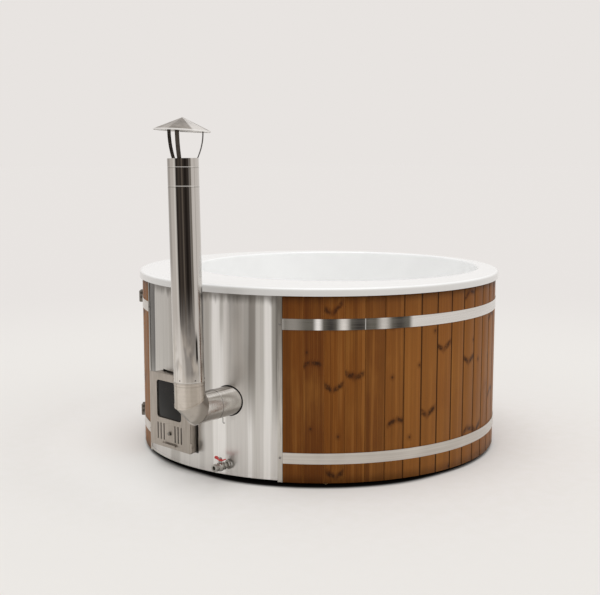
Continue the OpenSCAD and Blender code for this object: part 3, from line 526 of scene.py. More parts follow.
def polished_foot(place):
    """The same tube lying down, with painted reflections: a bright streak along its top and dull ones below.
    """
    x, y, z = place.parts(0, 1, 2)
    side_x, side_y = math.cos(flue_turn), math.sin(flue_turn)
    aside = x * side_x + y * side_y - (PIPE_FOOT[0] * side_x + PIPE_FOOT[1] * side_y)
    around = place.maths("ARCTAN2", z - FLUE_Z, aside) * (180 / math.pi)
    tone = streaked(around, (216, 213, 208), [
        (88.0, 14.0, (124, 119, 113), 0.8),
        (-40.0, 30.0, (158, 153, 147), 0.9),
        (20.0, 8.0, (222, 219, 214), 0.7),
        (58.0, 14.0, (252, 251, 249), 1.0),
        (69.0, 2.5, (120, 115, 109), 0.7),
        (-66.0, 8.0, (222, 219, 214), 0.8),
    ])
    along = x * side_y - y * side_x - FLUE_START
    rings = brushed(place, 14, 150, 14)
    tone = layered(tone, [
        (fade(abs(along - 0.112), 0.001, 0.004) * 0.6, (86, 82, 77)),
        (step(rings, 0.35, 0.8) * 0.3, (128, 123, 117)),
    ])
    return metal(tone, 0.16 + rings * 0.12, rings, 0.25)


# %% [markdown]
# ## The elbow's sheet
# The elbow is satin sheet, duller than the pipe. Its pieces share one recipe with
# other tones, in which the sides that turn away get painted shade, and the sleeve
# also gets painted reflections.


# %% The elbow's sheet
def elbow_sheet(tone, dull, spread, painted_reflections=()):
    """Satin sheet with painted shade where it turns away from the camera's side, and any painted reflections
    laid over it.
    """

    def paint(place):
        (z,) = place.parts(2)
        around = angle_about(place, *PIPE_FOOT, *PIPE_LEAN, FLUE_Z, zero=CAMERA_SIDE)
        patch = noise(place, 34.0, 3.0, 0.6)
        rings = brushed(place, 4, 4, 210)
        # painted shade on both sides that turn away, then the painted reflections
        shade = streaked(around, tone, [(-78.0, spread, dull, 0.85), (78.0, spread, dull, 0.85), *painted_reflections])
        shade = layered(shade, [(step(rings, 0.45, 0.75) * 0.3, dull), (step(patch, 0.45, 0.8) * 0.25, dull)])
        # painted shade in the creases at both edges of the sleeve's bead
        for bead_crease in (ELBOW_TOP - 0.004, ELBOW_TOP - 0.016):
            shade = mix(fade(abs(z - bead_crease), 0.0008, 0.003) * 0.35, shade, (128, 120, 110))
        return metal(shade, 0.26 + patch * 0.14, rings, 0.15)

    return paint


# %% [markdown]
# ## The bands, the strips and the cap
# The bands are bright strip with darker ears, and the upper one has a long dark painted
# reflection to the right of the panel. The strips on the panel's edges grow darker
# towards the top, a painted reflection, and the cap is dull sheet with painted
# highlights, one of them along its rim.


# %% The bands, the strips and the cap
def darker_ears(place, tone):
    """The ears of a band, outside its round, are darker than the strip."""
    return mix(step(from_axis(place), BAND_R + 0.002, BAND_R + 0.005) * 0.85, tone, (98, 92, 84))


def eared_band(place):
    """Rolled strip, plain but for its darker ears."""
    made = sheet_metal((210, 205, 198), (180, 174, 166), (0.2, 0.4), (2, 2, 140))(place)
    made["Base Color"] = darker_ears(place, made["Base Color"])
    return made


def shaded_band(place):
    """Rolled strip with painted reflections: dark to the right of the panel, with light gaps."""
    around = angle_about(place, 0.0, 0.0, zero=-90.0)
    fine = brushed(place, 3, 3, 160)
    tone = streaked(around, (222, 219, 215), [(52.5, 19.5, (100, 97, 90), 1.0)], 0.9)
    tone = streaked(around, tone, [
        (36.8, 4.2, (150, 146, 140), 0.9),
        (47.3, 2.4, (52, 49, 46), 0.9),
        (55.5, 3.4, (56, 53, 50), 0.9),
        (67.4, 2.8, (62, 59, 55), 0.9),
        (43.9, 1.7, (244, 242, 239), 1.0),
        (51.0, 2.4, (226, 223, 218), 1.0),
        (62.6, 2.8, (214, 211, 206), 0.9),
        # a painted highlight along the real joint
        (BAND_JOINT_AZ + 0.15, 0.22, (214, 212, 208), 0.8),
    ], 0.05)
    tone = darker_ears(place, mix(step(fine, 0.35, 0.8) * 0.25, tone, (150, 146, 141)))
    return metal(tone, 0.2 + fine * 0.15, fine, 0.2)


def edge_strip(place):
    """The strips darken towards their upper ends, a painted reflection."""
    (z,) = place.parts(2)
    fine = noise(stretched(place, 90, 90, 5.0), 1.0, 4.0, 0.6)
    tone = mix(step(z + (fine - 0.5) * 0.5, 0.25, 0.95), (202, 198, 191), (112, 107, 100))
    tone = mix(step(fine, 0.4, 0.75) * 0.35, tone, (104, 99, 92))
    return metal(tone, 0.26 + fine * 0.15, fine, 0.2)


def cap_sheet(place):
    """Dull sheet with painted highlights: a strong one where the cone faces the light on its right, a weaker
    one on its left, and one all along its rim.
    """
    around = angle_about(place, *CAP_SPOT, zero=CAMERA_SIDE)
    patch = noise(place, 26.0, 4.0, 0.6)
    tone = mix(step(patch, 0.35, 0.7), (166, 160, 153), (132, 126, 119))
    tone = streaked(around, tone, [
        (44.0, 26.0, (240, 238, 235), 0.9),
        (-40.0, 12.0, (206, 202, 197), 0.5),
    ], 0.7)
    dx, dy = (part - spot for part, spot in zip(place.parts(0, 1), CAP_SPOT))
    rim = step(place.maths("SQRT", dx * dx + dy * dy), CAP_R - 0.012, CAP_R - 0.003)
    tone = mix(rim * 0.75, tone, (250, 249, 247))
    return metal(tone, 0.28 + patch * 0.15, patch, 0.15, 0.0004)


# %% [markdown]
# ## Where the pipe stands
# The recipes above need the pipe's axis: where its foot is, how it leans, and which
# side of it the camera sees. The streaks of the pipe, the elbow and the cap are
# counted from that side, so they depend on where this one camera stands, and stay
# there when another view is taken. With those the steels can be made.

# %% The pipe's axis, and the steels
flue_az, flue_turn = math.radians(FLUE_AZ), math.radians(FLUE_TURN)
flue_slope = math.tan(math.radians(FLUE_LEAN))
FLUE_ROOT = (PANEL_IN * math.sin(flue_az), -PANEL_IN * math.cos(flue_az))
FLUE_START = PANEL_IN * math.cos(flue_az - flue_turn)
PIPE_FOOT = (FLUE_ROOT[0] + FLUE_RUN * math.sin(flue_turn), FLUE_ROOT[1] - FLUE_RUN * math.cos(flue_turn))
PIPE_LEAN = (-flue_slope * math.cos(flue_turn), -flue_slope * math.sin(flue_turn))
CAP_SPOT = tuple(foot + CAP_RISE * lean for foot, lean in zip(PIPE_FOOT, PIPE_LEAN))
CAMERA_SIDE = math.degrees(math.atan2(EYE[1] - PIPE_FOOT[1], EYE[0] - PIPE_FOOT[0]))

material("panel_steel", rolled_panel)
material("pipe_steel", polished_pipe)
material("band_steel", eared_band)
material("shaded_band", shaded_band)
material("edge_strip", edge_strip)
material("foot_steel", polished_foot)
material("cap_sheet", cap_sheet)
material("door_steel", sheet_metal((186, 178, 169), (154, 146, 136), (0.34, 0.55), (160, 160, 9)))
material("gore_steel", elbow_sheet((184, 177, 168), (142, 136, 128), 52.0))
# the sleeve carries painted reflections, light and dark
material("elbow_steel", elbow_sheet((190, 181, 170), (150, 142, 131), 30.0, [
    (-34.0, 26.0, (222, 214, 204), 0.75),
    (16.0, 18.0, (170, 161, 150), 0.7),
    (52.0, 14.0, (218, 211, 201), 0.75),
    (-66.0, 9.0, (206, 198, 187), 0.7),
]))
material("plain_steel", sheet_metal((150, 147, 143), (112, 109, 105), (0.36, 0.6), (30, 30, 30)))
material("dark_steel", sheet_metal((96, 92, 87), (58, 54, 50), (0.36, 0.6), (30, 30, 30)))
material("strap_steel", sheet_metal((88, 82, 76), (40, 36, 32), (0.4, 0.65), (30, 30, 30)))
material("dark_zinc", sheet_metal((96, 90, 82), (48, 44, 39), (0.35, 0.6), (60, 60, 60)))
material("nickel", sheet_metal((172, 169, 163), (116, 112, 106), (0.14, 0.34), (24, 24, 24)))

# %% [markdown]
# ## The other finishes
# White gel coat with a clear gloss, red enamel on the tap's handle, ceramic glass
# that the smoke has darkened, and the rope seal, grey plastic and cast iron that
# hardly show until the door is open or the panel is off.


# %% Paint, plastic, glass
def gel_coat(place):
    """Glossy white, a little darker on the skirt that hangs down in the rim's own shade."""
    sheen = noise(place, 5.0, 3.0)
    speck = noise(place, 260.0, 2.0)
    (z,) = place.parts(2)
    skirt = step(from_axis(place), RIM_R - 0.012, RIM_R - 0.002) * fade(z, RIM_TOP - 0.012, RIM_TOP)
    tone = mix(step(sheen, 0.35, 0.7), (254, 254, 253), (251, 251, 250))
    return {
        "Base Color": mix(skirt, tone, (217, 215, 212)),
        "Roughness": 0.16 + sheen * 0.12,
        "Coat Weight": 0.5,
        "Coat Roughness": 0.08,
        "Normal": bump(sheen * 0.7 + speck * 0.05, 0.12, 0.0012),
    }


def enamel(place):
    worn = noise(place, 140.0, 4.0, 0.65)
    tone = mix(step(worn, 0.55, 0.8) * 0.6, (196, 38, 34), (150, 24, 22))
    return {
        "Base Color": tone,
        "Roughness": 0.28 + worn * 0.2,
        "Coat Weight": 0.4,
        "Normal": bump(worn, 0.2, 0.0003),
    }


def smoked_glass(place):
    soot = noise(place, 9.0, 4.0, 0.6)
    tone = mix(step(soot, 0.35, 0.8), (16, 15, 13), (34, 32, 29))
    return {"Base Color": tone, "Roughness": 0.1 + soot * 0.12, "Specular IOR Level": 0.2}


def plain(tone, dull, rough, scale, depth):
    """A dull finish with a fine grain of its own."""

    def paint(place):
        grain = noise(place, scale, 4.0, 0.6)
        return {
            "Base Color": mix(step(grain, 0.3, 0.7), tone, dull),
            "Roughness": rough + grain * 0.15,
            "Normal": bump(grain, 0.4, depth),
        }

    return paint


material("gel_coat", gel_coat)
material("red_enamel", enamel)
material("smoked_glass", smoked_glass)
material("rope", plain((222, 217, 206), (188, 182, 170), 0.8, 320.0, 0.0012))
material("grey_plastic", plain((206, 204, 200), (194, 192, 188), 0.42, 60.0, 0.0002))
material("cast_iron", plain((58, 56, 54), (38, 36, 34), 0.7, 180.0, 0.0006))
material("black_seal", plain((26, 24, 23), (16, 15, 14), 0.75, 200.0, 0.0004))

# %% [markdown]
# ## The pieces that keep their CAD shape
# What lies behind the boards and the panel is fine enough as the CAD file has it, and
# only needs a finish. The other pieces get theirs with their finer shape, below.

# %% Finishes of the CAD pieces
FINISH = {
    "plain_timber": [
        "frame_posts", "panel_posts", "bench_posts", "footwell_pads", "floor_disc", "middle_beam",
        "side_beams",
    ],
    "plain_steel": ["inner_hoops", "hot_pipe", "return_pipe", "heat_shield", "drain_strainer"],
    "dark_steel": ["water_jacket", "fire_chamber", "ash_pan", "stove_feet", "glass_frame", "flue_bend"],
    "door_steel": ["air_slider"],
    "nickel": ["valve_ball"],
    "gel_coat": ["wall_grilles"],
    "rope": ["door_seal"],
    "grey_plastic": ["drain_pipe"],
    "cast_iron": ["fire_grate"],
    "black_seal": ["flue_seal"],
}
for finish, nodes in FINISH.items():
    for node in nodes:
        for slot in frame["nodes"][node].material_slots:
            slot.material = MATERIALS[finish]
print(len(MATERIALS), "finishes;", sum(map(len, FINISH.values())), "nodes keep their CAD shape")

# %% [markdown]
# ## Hand tools
# The pieces are made as by hand, in edit mode. An operator acts on all that is
# selected, so the first tools select a piece, open its mesh and pick parts of it by
# their place.


# %% Hand tools
def nothing_selected():
    if bpy.context.object and bpy.context.object.mode != "OBJECT":
        bpy.ops.object.mode_set(mode="OBJECT")
    bpy.ops.object.select_all(action="DESELECT")


def only(first, *others):
    """Selects these pieces and nothing else, the first one active."""
    nothing_selected()
    for obj in (first, *others):
        obj.select_set(True)
    bpy.context.view_layer.objects.active = first


def open_mesh(obj, select="DESELECT"):
    """Puts one object into edit mode."""
    only(obj)
    bpy.ops.object.mode_set(mode="EDIT")
    bpy.ops.mesh.select_mode(type="VERT")
    bpy.ops.mesh.select_all(action=select)


def close_mesh():
    bpy.ops.object.mode_set(mode="OBJECT")


def pick(test, kind="verts"):
    """Selects the elements whose middle passes the test, in the mesh that is in edit mode."""
    bpy.ops.mesh.select_all(action="DESELECT")
    bpy.ops.mesh.select_mode(type="VERT" if kind == "verts" else "EDGE")
    mesh = bmesh.from_edit_mesh(bpy.context.object.data)
    for element in getattr(mesh, kind):
        middle = element.co if kind == "verts" else (element.verts[0].co + element.verts[1].co) / 2
        if test(middle):
            element.select_set(True)
    mesh.select_flush_mode()
    bmesh.update_edit_mesh(bpy.context.object.data)


# %% [markdown]
# ## Drawing and spinning
# Most pieces are round about some axis. So one tool draws a profile, by extruding a
# single vertex from point to point, and another one spins it. Modifiers are applied
# at once, so that every piece ends as a plain mesh.


# %% Drawing and spinning
def pull(offset):
    """Extrudes what is selected by an offset."""
    bpy.ops.mesh.extrude_region_move(TRANSFORM_OT_translate={"value": offset})


def line(points, soften=0.0):
    """Draws a line by extruding one vertex from point to point; soften rounds its corners."""
    nothing_selected()
    bpy.ops.mesh.primitive_plane_add(size=0.001, location=(0, 0, 0))
    obj = bpy.context.object
    open_mesh(obj, "SELECT")
    bpy.ops.mesh.merge(type="CENTER")
    bpy.ops.transform.translate(value=Vector(points[0]))
    for a, b in zip(points, points[1:]):
        pull(Vector(b) - Vector(a))
    if soften:
        bpy.ops.mesh.select_all(action="SELECT")
        bpy.ops.mesh.bevel(offset=soften, segments=3, affect="VERTICES")
    return obj


def tidy_faces():
    """Merges what lies together and turns every face outwards."""
    bpy.ops.mesh.select_all(action="SELECT")
    bpy.ops.mesh.remove_doubles(threshold=1e-6)
    bpy.ops.mesh.normals_make_consistent(inside=False)


def turned(profile, start=0.0, sweep=360.0, steps=96, soften=0.0, solid=False):
    """Spins a profile of (radius, height) pairs about the Z axis, from an azimuth in degrees.

    The spin tool turns clockwise for a positive angle, so the sweep is given as a negative one.
    """
    a = math.radians(start)
    obj = line([(r * math.sin(a), -r * math.cos(a), z) for r, z in profile], soften)
    bpy.ops.mesh.select_all(action="SELECT")
    if solid:
        bpy.ops.mesh.edge_face_add()
    bpy.ops.mesh.spin(steps=steps, angle=-math.radians(sweep), center=(0, 0, 0), axis=(0, 0, 1))
    tidy_faces()
    close_mesh()
    return obj


def rolled(r0, r1, z0, z1, start, sweep, steps, soften=0.0):
    """Rolled sheet: a rectangle between two radii and two heights, spun about the Z axis."""
    return turned([(r0, z0), (r1, z0), (r1, z1), (r0, z1)], start, sweep, steps, soften, solid=True)


def change(obj, kind, **settings):
    """Adds a modifier and applies it at once."""
    only(obj)
    modifier = obj.modifiers.new(kind.lower(), kind)
    for name, value in settings.items():
        setattr(modifier, name, value)
    bpy.ops.object.modifier_apply(modifier=modifier.name)
    return obj


def edges_rounded(obj, width, segments=2, angle=40.0):
    """Rounds every edge that is sharper than an angle."""
    limit = math.radians(angle)
    return change(obj, "BEVEL", width=width, segments=segments, limit_method="ANGLE", angle_limit=limit)


def joined_up(first, *others):
    """Joins pieces into the first one."""
    only(first, *others)
    bpy.ops.object.join()
    return first


def place(obj, matrix):
    """Puts a piece in its place and writes the place into the mesh."""
    only(obj)
    bpy.context.view_layer.update()
    obj.matrix_world = matrix @ obj.matrix_world
    bpy.ops.object.transform_apply(location=True, rotation=True, scale=True)
    return obj


# %% [markdown]
# ## Finishing a piece
# A piece ends with its place in its mesh, rides the same body as the CAD node that it
# stands for, and hides that node. Some CAD shapes only lack their soft edges: those
# are copied, merged and bevelled, and finished in the same way.

# %% Finishing
BODY = {n: body for body, nodes in frame["record"]["behaviour"]["bodies"].items() for n in nodes}


def finished(obj, name, finish, *nodes, sharp=35.0, rides="", slot=""):
    """Shades a piece, dresses it, and lets it stand for its CAD nodes, or only ride one of them."""
    nodes = nodes or (name,)
    place(obj, Matrix())
    obj.name = obj.data.name = "made_" + name
    bpy.ops.object.shade_smooth_by_angle(angle=math.radians(sharp))
    obj.data.materials.clear()
    obj.data.materials.append(MATERIALS[finish])
    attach(obj, rides or BODY[nodes[0]])
    if not rides:
        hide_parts(*nodes)
    print(f"{obj.name}: {len(obj.data.polygons)} faces")
    return obj


def twin(obj):
    """A copy with its own mesh."""
    made = bpy.data.objects.new(obj.name, obj.data.copy())
    bpy.context.scene.collection.objects.link(made)
    return made


def softened(node, finish, width=0.0008, segments=2):
    """A copy of a CAD node whose edges are rounded as a file or the rolls leave them."""
    made = twin(frame["nodes"][node])
    open_mesh(made, "SELECT")
    bpy.ops.mesh.remove_doubles(threshold=1e-6)
    bpy.ops.mesh.dissolve_limited(angle_limit=math.radians(0.5))
    close_mesh()
    edges_rounded(made, width, segments, 35.0)
    return finished(made, node, finish)


# %% [markdown]
# ## The liner
# The real one is laid up in a mould, so every edge is a soft round and its walls
# taper. One lathe profile would do if the basin sat in the middle, but it sits 145 mm
# behind it. So a circle is pulled up ring by ring instead, from the drain to the
# skirt, and its centre moves where the deck is. The sheet then gets its thickness.


# %% Liner
def rounded(corners, steps=5):
    """Corner points (r, z, radius) of a profile, the inner ones turned into short arcs."""
    out = []
    for i, (x, y, radius) in enumerate(corners):
        if not radius:
            out.append((x, y))
            continue
        here = Vector((x, y))
        to_a = (Vector(corners[i - 1][:2]) - here).normalized()
        to_b = (Vector(corners[i + 1][:2]) - here).normalized()
        half = to_a.angle(to_b) / 2
        centre = here + (to_a + to_b).normalized() * radius / math.sin(half)
        start = here + to_a * radius / math.tan(half) - centre
        sweep = start.angle_signed(here + to_b * radius / math.tan(half) - centre)
        for k in range(steps + 1):
            a = -sweep * k / steps
            sin, cos = math.sin(a), math.cos(a)
            out.append(tuple(centre + Vector((start.x * cos - start.y * sin, start.x * sin + start.y * cos))))
    return out


def ring_up(rings, steps=144):
    """Pulls a circle through a list of rings, each with its radius, height and centre's y."""
    nothing_selected()
    bpy.ops.mesh.primitive_circle_add(vertices=steps, radius=rings[0][0], location=(0, 0, 0))
    obj = bpy.context.object
    open_mesh(obj, "SELECT")
    bpy.ops.transform.translate(value=(0, rings[0][2], rings[0][1]))
    for (r_a, z_a, y_a), (r_b, z_b, y_b) in zip(rings, rings[1:]):
        pull((0, y_b - y_a, z_b - z_a))
        grow = r_b / r_a
        bpy.ops.transform.resize(value=(grow, grow, 1), center_override=(0, y_b, z_b))
    return obj


basin = rounded([
    (DRAIN_HOLE, FOOTWELL_Z, 0), (FOOTWELL_FLOOR_R, FOOTWELL_Z, 0.05), (FOOTWELL_R, BENCH_Z, 0.03),
    (BENCH_WALL_R, BENCH_Z, 0.03), (BASIN_R, RIM_TOP, 0.014), (BASIN_R + 0.017, RIM_TOP, 0),
])
rim = rounded([(RIM_R - 0.020, RIM_TOP, 0), (RIM_R, RIM_TOP, 0.017), (RIM_R, RIM_TOP - SKIRT, 0)], 8)
liner = ring_up([(r, z, BASIN_Y) for r, z in basin] + [(r, z, 0) for r, z in rim])
tidy_faces()
deck = [f for f in bmesh.from_edit_mesh(liner.data).faces if f.calc_center_median().z > RIM_TOP - 1e-4]
if sum(f.normal.z for f in deck) < 0:
    bpy.ops.mesh.flip_normals()
close_mesh()
change(liner, "SOLIDIFY", thickness=SHELL, offset=-1.0)
finished(liner, "liner", "gel_coat")

# %% [markdown]
# ## The steel panel
# A single sheet, rolled to the boards' radius, with openings cut for the stove, the
# flue and the valve. Spinning a thin rectangle gives the rolled sheet, and cutters
# take the openings out of it. Its lower edge is folded back into a hem.


# %% Panel
def cut(obj, *cutters):
    """Takes the cutters' shapes out of a piece."""
    for cutter in cutters:
        change(obj, "BOOLEAN", object=cutter, operation="DIFFERENCE", solver="EXACT")
        bpy.data.objects.remove(cutter)
    return obj


def block(x0, x1, y0, y1, z0, z1):
    nothing_selected()
    bpy.ops.mesh.primitive_cube_add(size=1, location=((x0 + x1) / 2, (y0 + y1) / 2, (z0 + z1) / 2))
    bpy.context.object.scale = (x1 - x0, y1 - y0, z1 - z0)
    return place(bpy.context.object, Matrix())


def rod(radius, matrix, y0, y1):
    """A cylinder along the Y axis of a frame, between two distances outwards."""
    nothing_selected()
    bpy.ops.mesh.primitive_cylinder_add(
        vertices=64, radius=radius, depth=y1 - y0,
        location=(0, -(y0 + y1) / 2, 0), rotation=(math.pi / 2, 0, 0),
    )
    return place(bpy.context.object, matrix)


def about_z(degrees):
    return Matrix.Rotation(math.radians(degrees), 4, "Z")


FLAT = Matrix.Rotation(math.pi / 2, 4, "X")  # lays an upright piece down along -Y


def at(x, y, z):
    return Matrix.Translation((x, y, z))


def outward(azimuth, radius, z):
    """A frame on the tub's face, with -Y outwards along that azimuth."""
    return about_z(azimuth) @ at(0, -radius, z)


VALVE_AZ, VALVE_Z, VALVE_HOLE = 17.7, 0.084, 0.0143
COLLAR_LEFT, COLLAR_RIGHT, COLLAR_LOW, COLLAR_TOP = -0.208, 0.097, 0.112, 0.487
CUTOUT_GAP, SLOT_LEFT = 0.011, -0.186
THROUGH = (-1.1, -0.5)  # a cutter's reach along Y
valve_az = math.radians(VALVE_AZ)
FLUE = at(*FLUE_ROOT, FLUE_Z) @ about_z(FLUE_TURN)
ELBOW = FLUE @ Matrix.Rotation(math.radians(-FLUE_LEAN), 4, "Y")
CHIMNEY = ELBOW @ at(0, -FLUE_RUN, -FLUE_Z)
VALVE = at(TUB_R * math.sin(valve_az), -TUB_R * math.cos(valve_az), VALVE_Z)
EDGE_AZ = math.degrees(SEAT / BAND_R)
STRIP_AZ = math.degrees(STRIP_W / 2 / TUB_R)

PANEL_SWEEP = PANEL_RIGHT - PANEL_LEFT

panel = rolled(
    PANEL_IN, TUB_R, PANEL_LOW, BOARD_HIGH, PANEL_LEFT + EDGE_AZ, PANEL_SWEEP - 2 * EDGE_AZ, steps=112
)
cut(
    panel,
    block(COLLAR_LEFT - 0.002, COLLAR_RIGHT + CUTOUT_GAP, *THROUGH, COLLAR_LOW - 0.004, COLLAR_TOP + 0.001),
    block(SLOT_LEFT, COLLAR_RIGHT + CUTOUT_GAP, *THROUGH, COLLAR_LOW, COLLAR_TOP + CUTOUT_GAP),
    rod(FLUE_R + FLUE_GAP, FLUE, -0.1, 0.1),
    rod(VALVE_HOLE, VALVE, -0.06, 0.06),
)
hem = rolled(
    TUB_R, TUB_R + PANEL_T, PANEL_LOW, PANEL_LOW + HEM_H,
    PANEL_LEFT + 2 * STRIP_AZ, PANEL_SWEEP - 4 * STRIP_AZ, steps=100, soften=0.0006,
)
finished(joined_up(panel, hem), "front_panel", "panel_steel")

STRIP_IN = TUB_R + SEAT
STRIP_SWEEP = 2 * (STRIP_AZ - EDGE_AZ)
strips = joined_up(*(
    rolled(STRIP_IN, STRIP_IN + STRIP_T, BOARD_LOW, BOARD_HIGH, az + EDGE_AZ, STRIP_SWEEP, steps=4)
    for az in (PANEL_LEFT, PANEL_RIGHT - 2 * STRIP_AZ)
))
edges_rounded(strips, 0.0009)
finished(strips, "panel_strips", "edge_strip")

# %% [markdown]
# ## Screws
# A round-headed screw holds each strip where a band meets it. The head is a small
# lathe turning, made once and copied.

# %% Screws
HEAD = [(0.0, 0.0034), (0.0022, 0.0033), (0.0044, 0.0022), (0.0059, 0.0006), (0.0060, 0.0), (0.0, 0.0)]
SHANK = [(0.0, 0.0), (0.0025, 0.0), (0.0025, -0.036), (0.0, -0.041)]
head = turned(HEAD, steps=24)
shank = turned(SHANK, steps=12)
screw = place(joined_up(head, shank), FLAT)
screws = []
for z in (UPPER_BAND_Z, LOWER_BAND_Z):
    for az in (PANEL_LEFT + STRIP_AZ, PANEL_RIGHT - STRIP_AZ):
        screws.append(place(twin(screw), outward(az, TUB_R + STRIP_T + 2 * SEAT, z)))
bpy.data.objects.remove(screw)
finished(joined_up(*screws), "strip_screws", "plain_steel")

# %% [markdown]
# ## The bands
# Each band is a flat steel strip, pulled tight by two bolts through a pair of ears.
# The strip is a spun rectangle. An ear is the strip's own end, bent outwards, so it
# starts as a block and is given the bend's round.


# %% Bands
def band(name, az_a, az_b, z, ear_side=0, finish="band_steel"):
    half = BAND_H / 2
    sweep = az_b - az_a
    strip = rolled(BAND_R, BAND_R + BAND_T, z - half, z + half, az_a, sweep, steps=max(4, round(sweep / 1.5)))
    if ear_side:
        az = az_a if ear_side > 0 else az_b
        x0 = 0 if ear_side > 0 else -EAR_T
        ear = block(x0, x0 + EAR_T, -BAND_R - EAR_OUT, -BAND_R - BAND_T / 2, z - half, z + half + BOLT_RISE)
        open_mesh(ear)
        pick(lambda m: m.y < -BAND_R - EAR_OUT + 1e-4 and abs(m.x - x0 - EAR_T / 2) < 1e-4, "edges")
        bpy.ops.mesh.bevel(offset=0.007, segments=4, affect="EDGES")
        close_mesh()
        edges_rounded(ear, 0.0007)
        joined_up(strip, place(ear, about_z(az)))
    return finished(strip, name, finish)


ear_az = math.degrees(EAR_GAP / 2 / BAND_R)
band("upper_band_short", TENSION_AZ + ear_az, PANEL_LEFT - EDGE_AZ, UPPER_BAND_Z, 1)
band("lower_band_short", TENSION_AZ + ear_az, PANEL_LEFT - EDGE_AZ, LOWER_BAND_Z, 1)
band("upper_band", BAND_JOINT_AZ + EDGE_AZ, TENSION_AZ + 360 - ear_az, UPPER_BAND_Z, -1, "shaded_band")
band("lower_band", PANEL_RIGHT + EDGE_AZ, TENSION_AZ + 360 - ear_az, LOWER_BAND_Z, -1)
band("upper_band_right", PANEL_RIGHT + EDGE_AZ, BAND_JOINT_AZ, UPPER_BAND_Z, finish="shaded_band")
for node in ("tension_bolts", "tension_nuts"):
    softened(node, "dark_zinc", 0.0006)

# %% [markdown]
# ## The boards
# The planed boards already have their chamfers. A fine round on every edge catches
# the light as sanded wood does.

# %% Boards
for node in ("boards_right", "boards_back_right", "boards_back_left", "boards_left"):
    softened(node, "stained_board", 0.0008, segments=1)

# %% [markdown]
# ## The flue
# Every pipe is rolled sheet: a closed profile of its wall, spun about the pipe's own
# axis. Pressed beads stiffen it, and a spigot runs on inside the next pipe.


# %% Flue pipes
SPIGOT, CAP_SPIGOT = 0.038, 0.020


def pipe_profile(z0, z1, spigot, beads=()):
    """The wall of a pipe with beads pressed outwards at some heights."""
    outer = [(FLUE_R - 0.0004, z0), (FLUE_R, z0 + 0.0008), (FLUE_R, z0 + 0.0018)]
    for z, width, rise in beads:
        outer += [
            (FLUE_R, z - width - 0.001), (FLUE_R, z - width), (FLUE_R + rise * 0.7, z - width * 0.6),
            (FLUE_R + rise, z), (FLUE_R + rise * 0.7, z + width * 0.6), (FLUE_R, z + width),
        ]
    outer += [(FLUE_R, z1 - 0.0018), (FLUE_R, z1 - 0.0008)]
    inner = FLUE_R - FLUE_T
    if spigot:
        wide, narrow, end = inner - SEAT, inner - SEAT - FLUE_T, z1 + spigot
        outer += [(FLUE_R - 0.0006, z1), (wide, z1), (wide, end)]
        outer += [(narrow, end), (narrow, z1 - 0.006), (inner, z1 - 0.008)]
    else:
        outer += [(FLUE_R - 0.0004, z1), (inner, z1)]
    return outer + [(inner, z0), outer[0]]


for name, z0, z1, spigot, beads in (
    ("chimney_pipe", ELBOW_TOP, PIPE_JOINT - SEAT, SPIGOT, [(PIPE_JOINT - 0.0045, 0.0028, 0.0008)]),
    ("chimney_top", PIPE_JOINT, CAP_JOINT - SEAT, CAP_SPIGOT, []),
    ("cap_collar", CAP_JOINT, MOUTH, 0, []),
):
    pipe = turned(pipe_profile(z0, z1, spigot, beads))
    finished(place(pipe, CHIMNEY), name, "pipe_steel", sharp=50)

RIVET = [
    (0.0, 0.0020), (0.0016, 0.0018), (0.0029, 0.0009), (0.0032, SEAT),
    (0.0015, SEAT), (0.0015, -FLUE_T), (0, -FLUE_T),
]
RIVET_RING = CHIMNEY @ at(0, 0, ELBOW_TOP + 0.014)
rivet = turned(RIVET, steps=16)
place(rivet, at(0, -FLUE_R, 0) @ FLAT)
rivets = [place(twin(rivet), RIVET_RING @ about_z(az)) for az in range(8, 360, 60)]
bpy.data.objects.remove(rivet)
finished(joined_up(*rivets), "chimney_rivets", "dark_steel")

# %% [markdown]
# ## The elbow
# It is three tubes with two slanted seams, each of which turns half of the bend. A
# plane that halves the turn slices both tubes of a seam, and the wall that is left
# open is bridged. A cut with a plane gives the seam its true ellipse.


# %% Elbow
def sliced(obj, frame_at, keep_outside=False):
    """Cuts a tube with the XY plane of a frame and closes the wall that is left."""
    point, normal = frame_at.to_translation(), frame_at.to_3x3() @ Vector((0, 0, 1))
    open_mesh(obj, "SELECT")
    bpy.ops.mesh.bisect(
        plane_co=point, plane_no=normal, threshold=1e-6,
        clear_outer=not keep_outside, clear_inner=keep_outside,
    )
    pick(lambda m: abs((m - point).dot(normal)) < 1e-6, "edges")
    bpy.ops.mesh.bridge_edge_loops()
    tidy_faces()
    close_mesh()
    return obj


def tilt(point, degrees):
    return at(*point) @ Matrix.Rotation(math.radians(degrees), 4, "X")


def tube_from(length, matrix, beads=(), grow=0.0):
    """A straight tube that starts at a frame's origin; with grow it lies round the flue."""
    wide, inner = (FLUE_R + grow, FLUE_R + 0.0001) if grow else (FLUE_R, FLUE_R - FLUE_T)
    outer = [(wide, 0)]
    for z, width, rise in beads:
        outer += [
            (FLUE_R, z - width - 0.001), (FLUE_R, z - width), (FLUE_R + rise, z - width * 0.4),
            (FLUE_R + rise, z + width * 0.4), (FLUE_R, z + width), (FLUE_R, z + width + 0.001),
        ]
    return place(turned(outer + [(wide, length), (inner, length), (inner, 0), (wide, 0)]), matrix)


MITRE = 22.5
LIP_FROM, LIP_TO, LIP_RISE = 0.0002, 0.0060, 0.0020
FOOT_START = 0.0397  # how far the foot reaches back inside the panel
HOOK_AT = -0.045
seam_a, seam_b = ELBOW_REACH - FLUE_RUN, ELBOW_REACH


def seam_at_foot(shift=0.0):
    return tilt((0, seam_a + shift, 0), 90 - MITRE)


def seam_at_sleeve(shift=0.0):
    return tilt((0, -FLUE_RUN, seam_b + shift), MITRE)


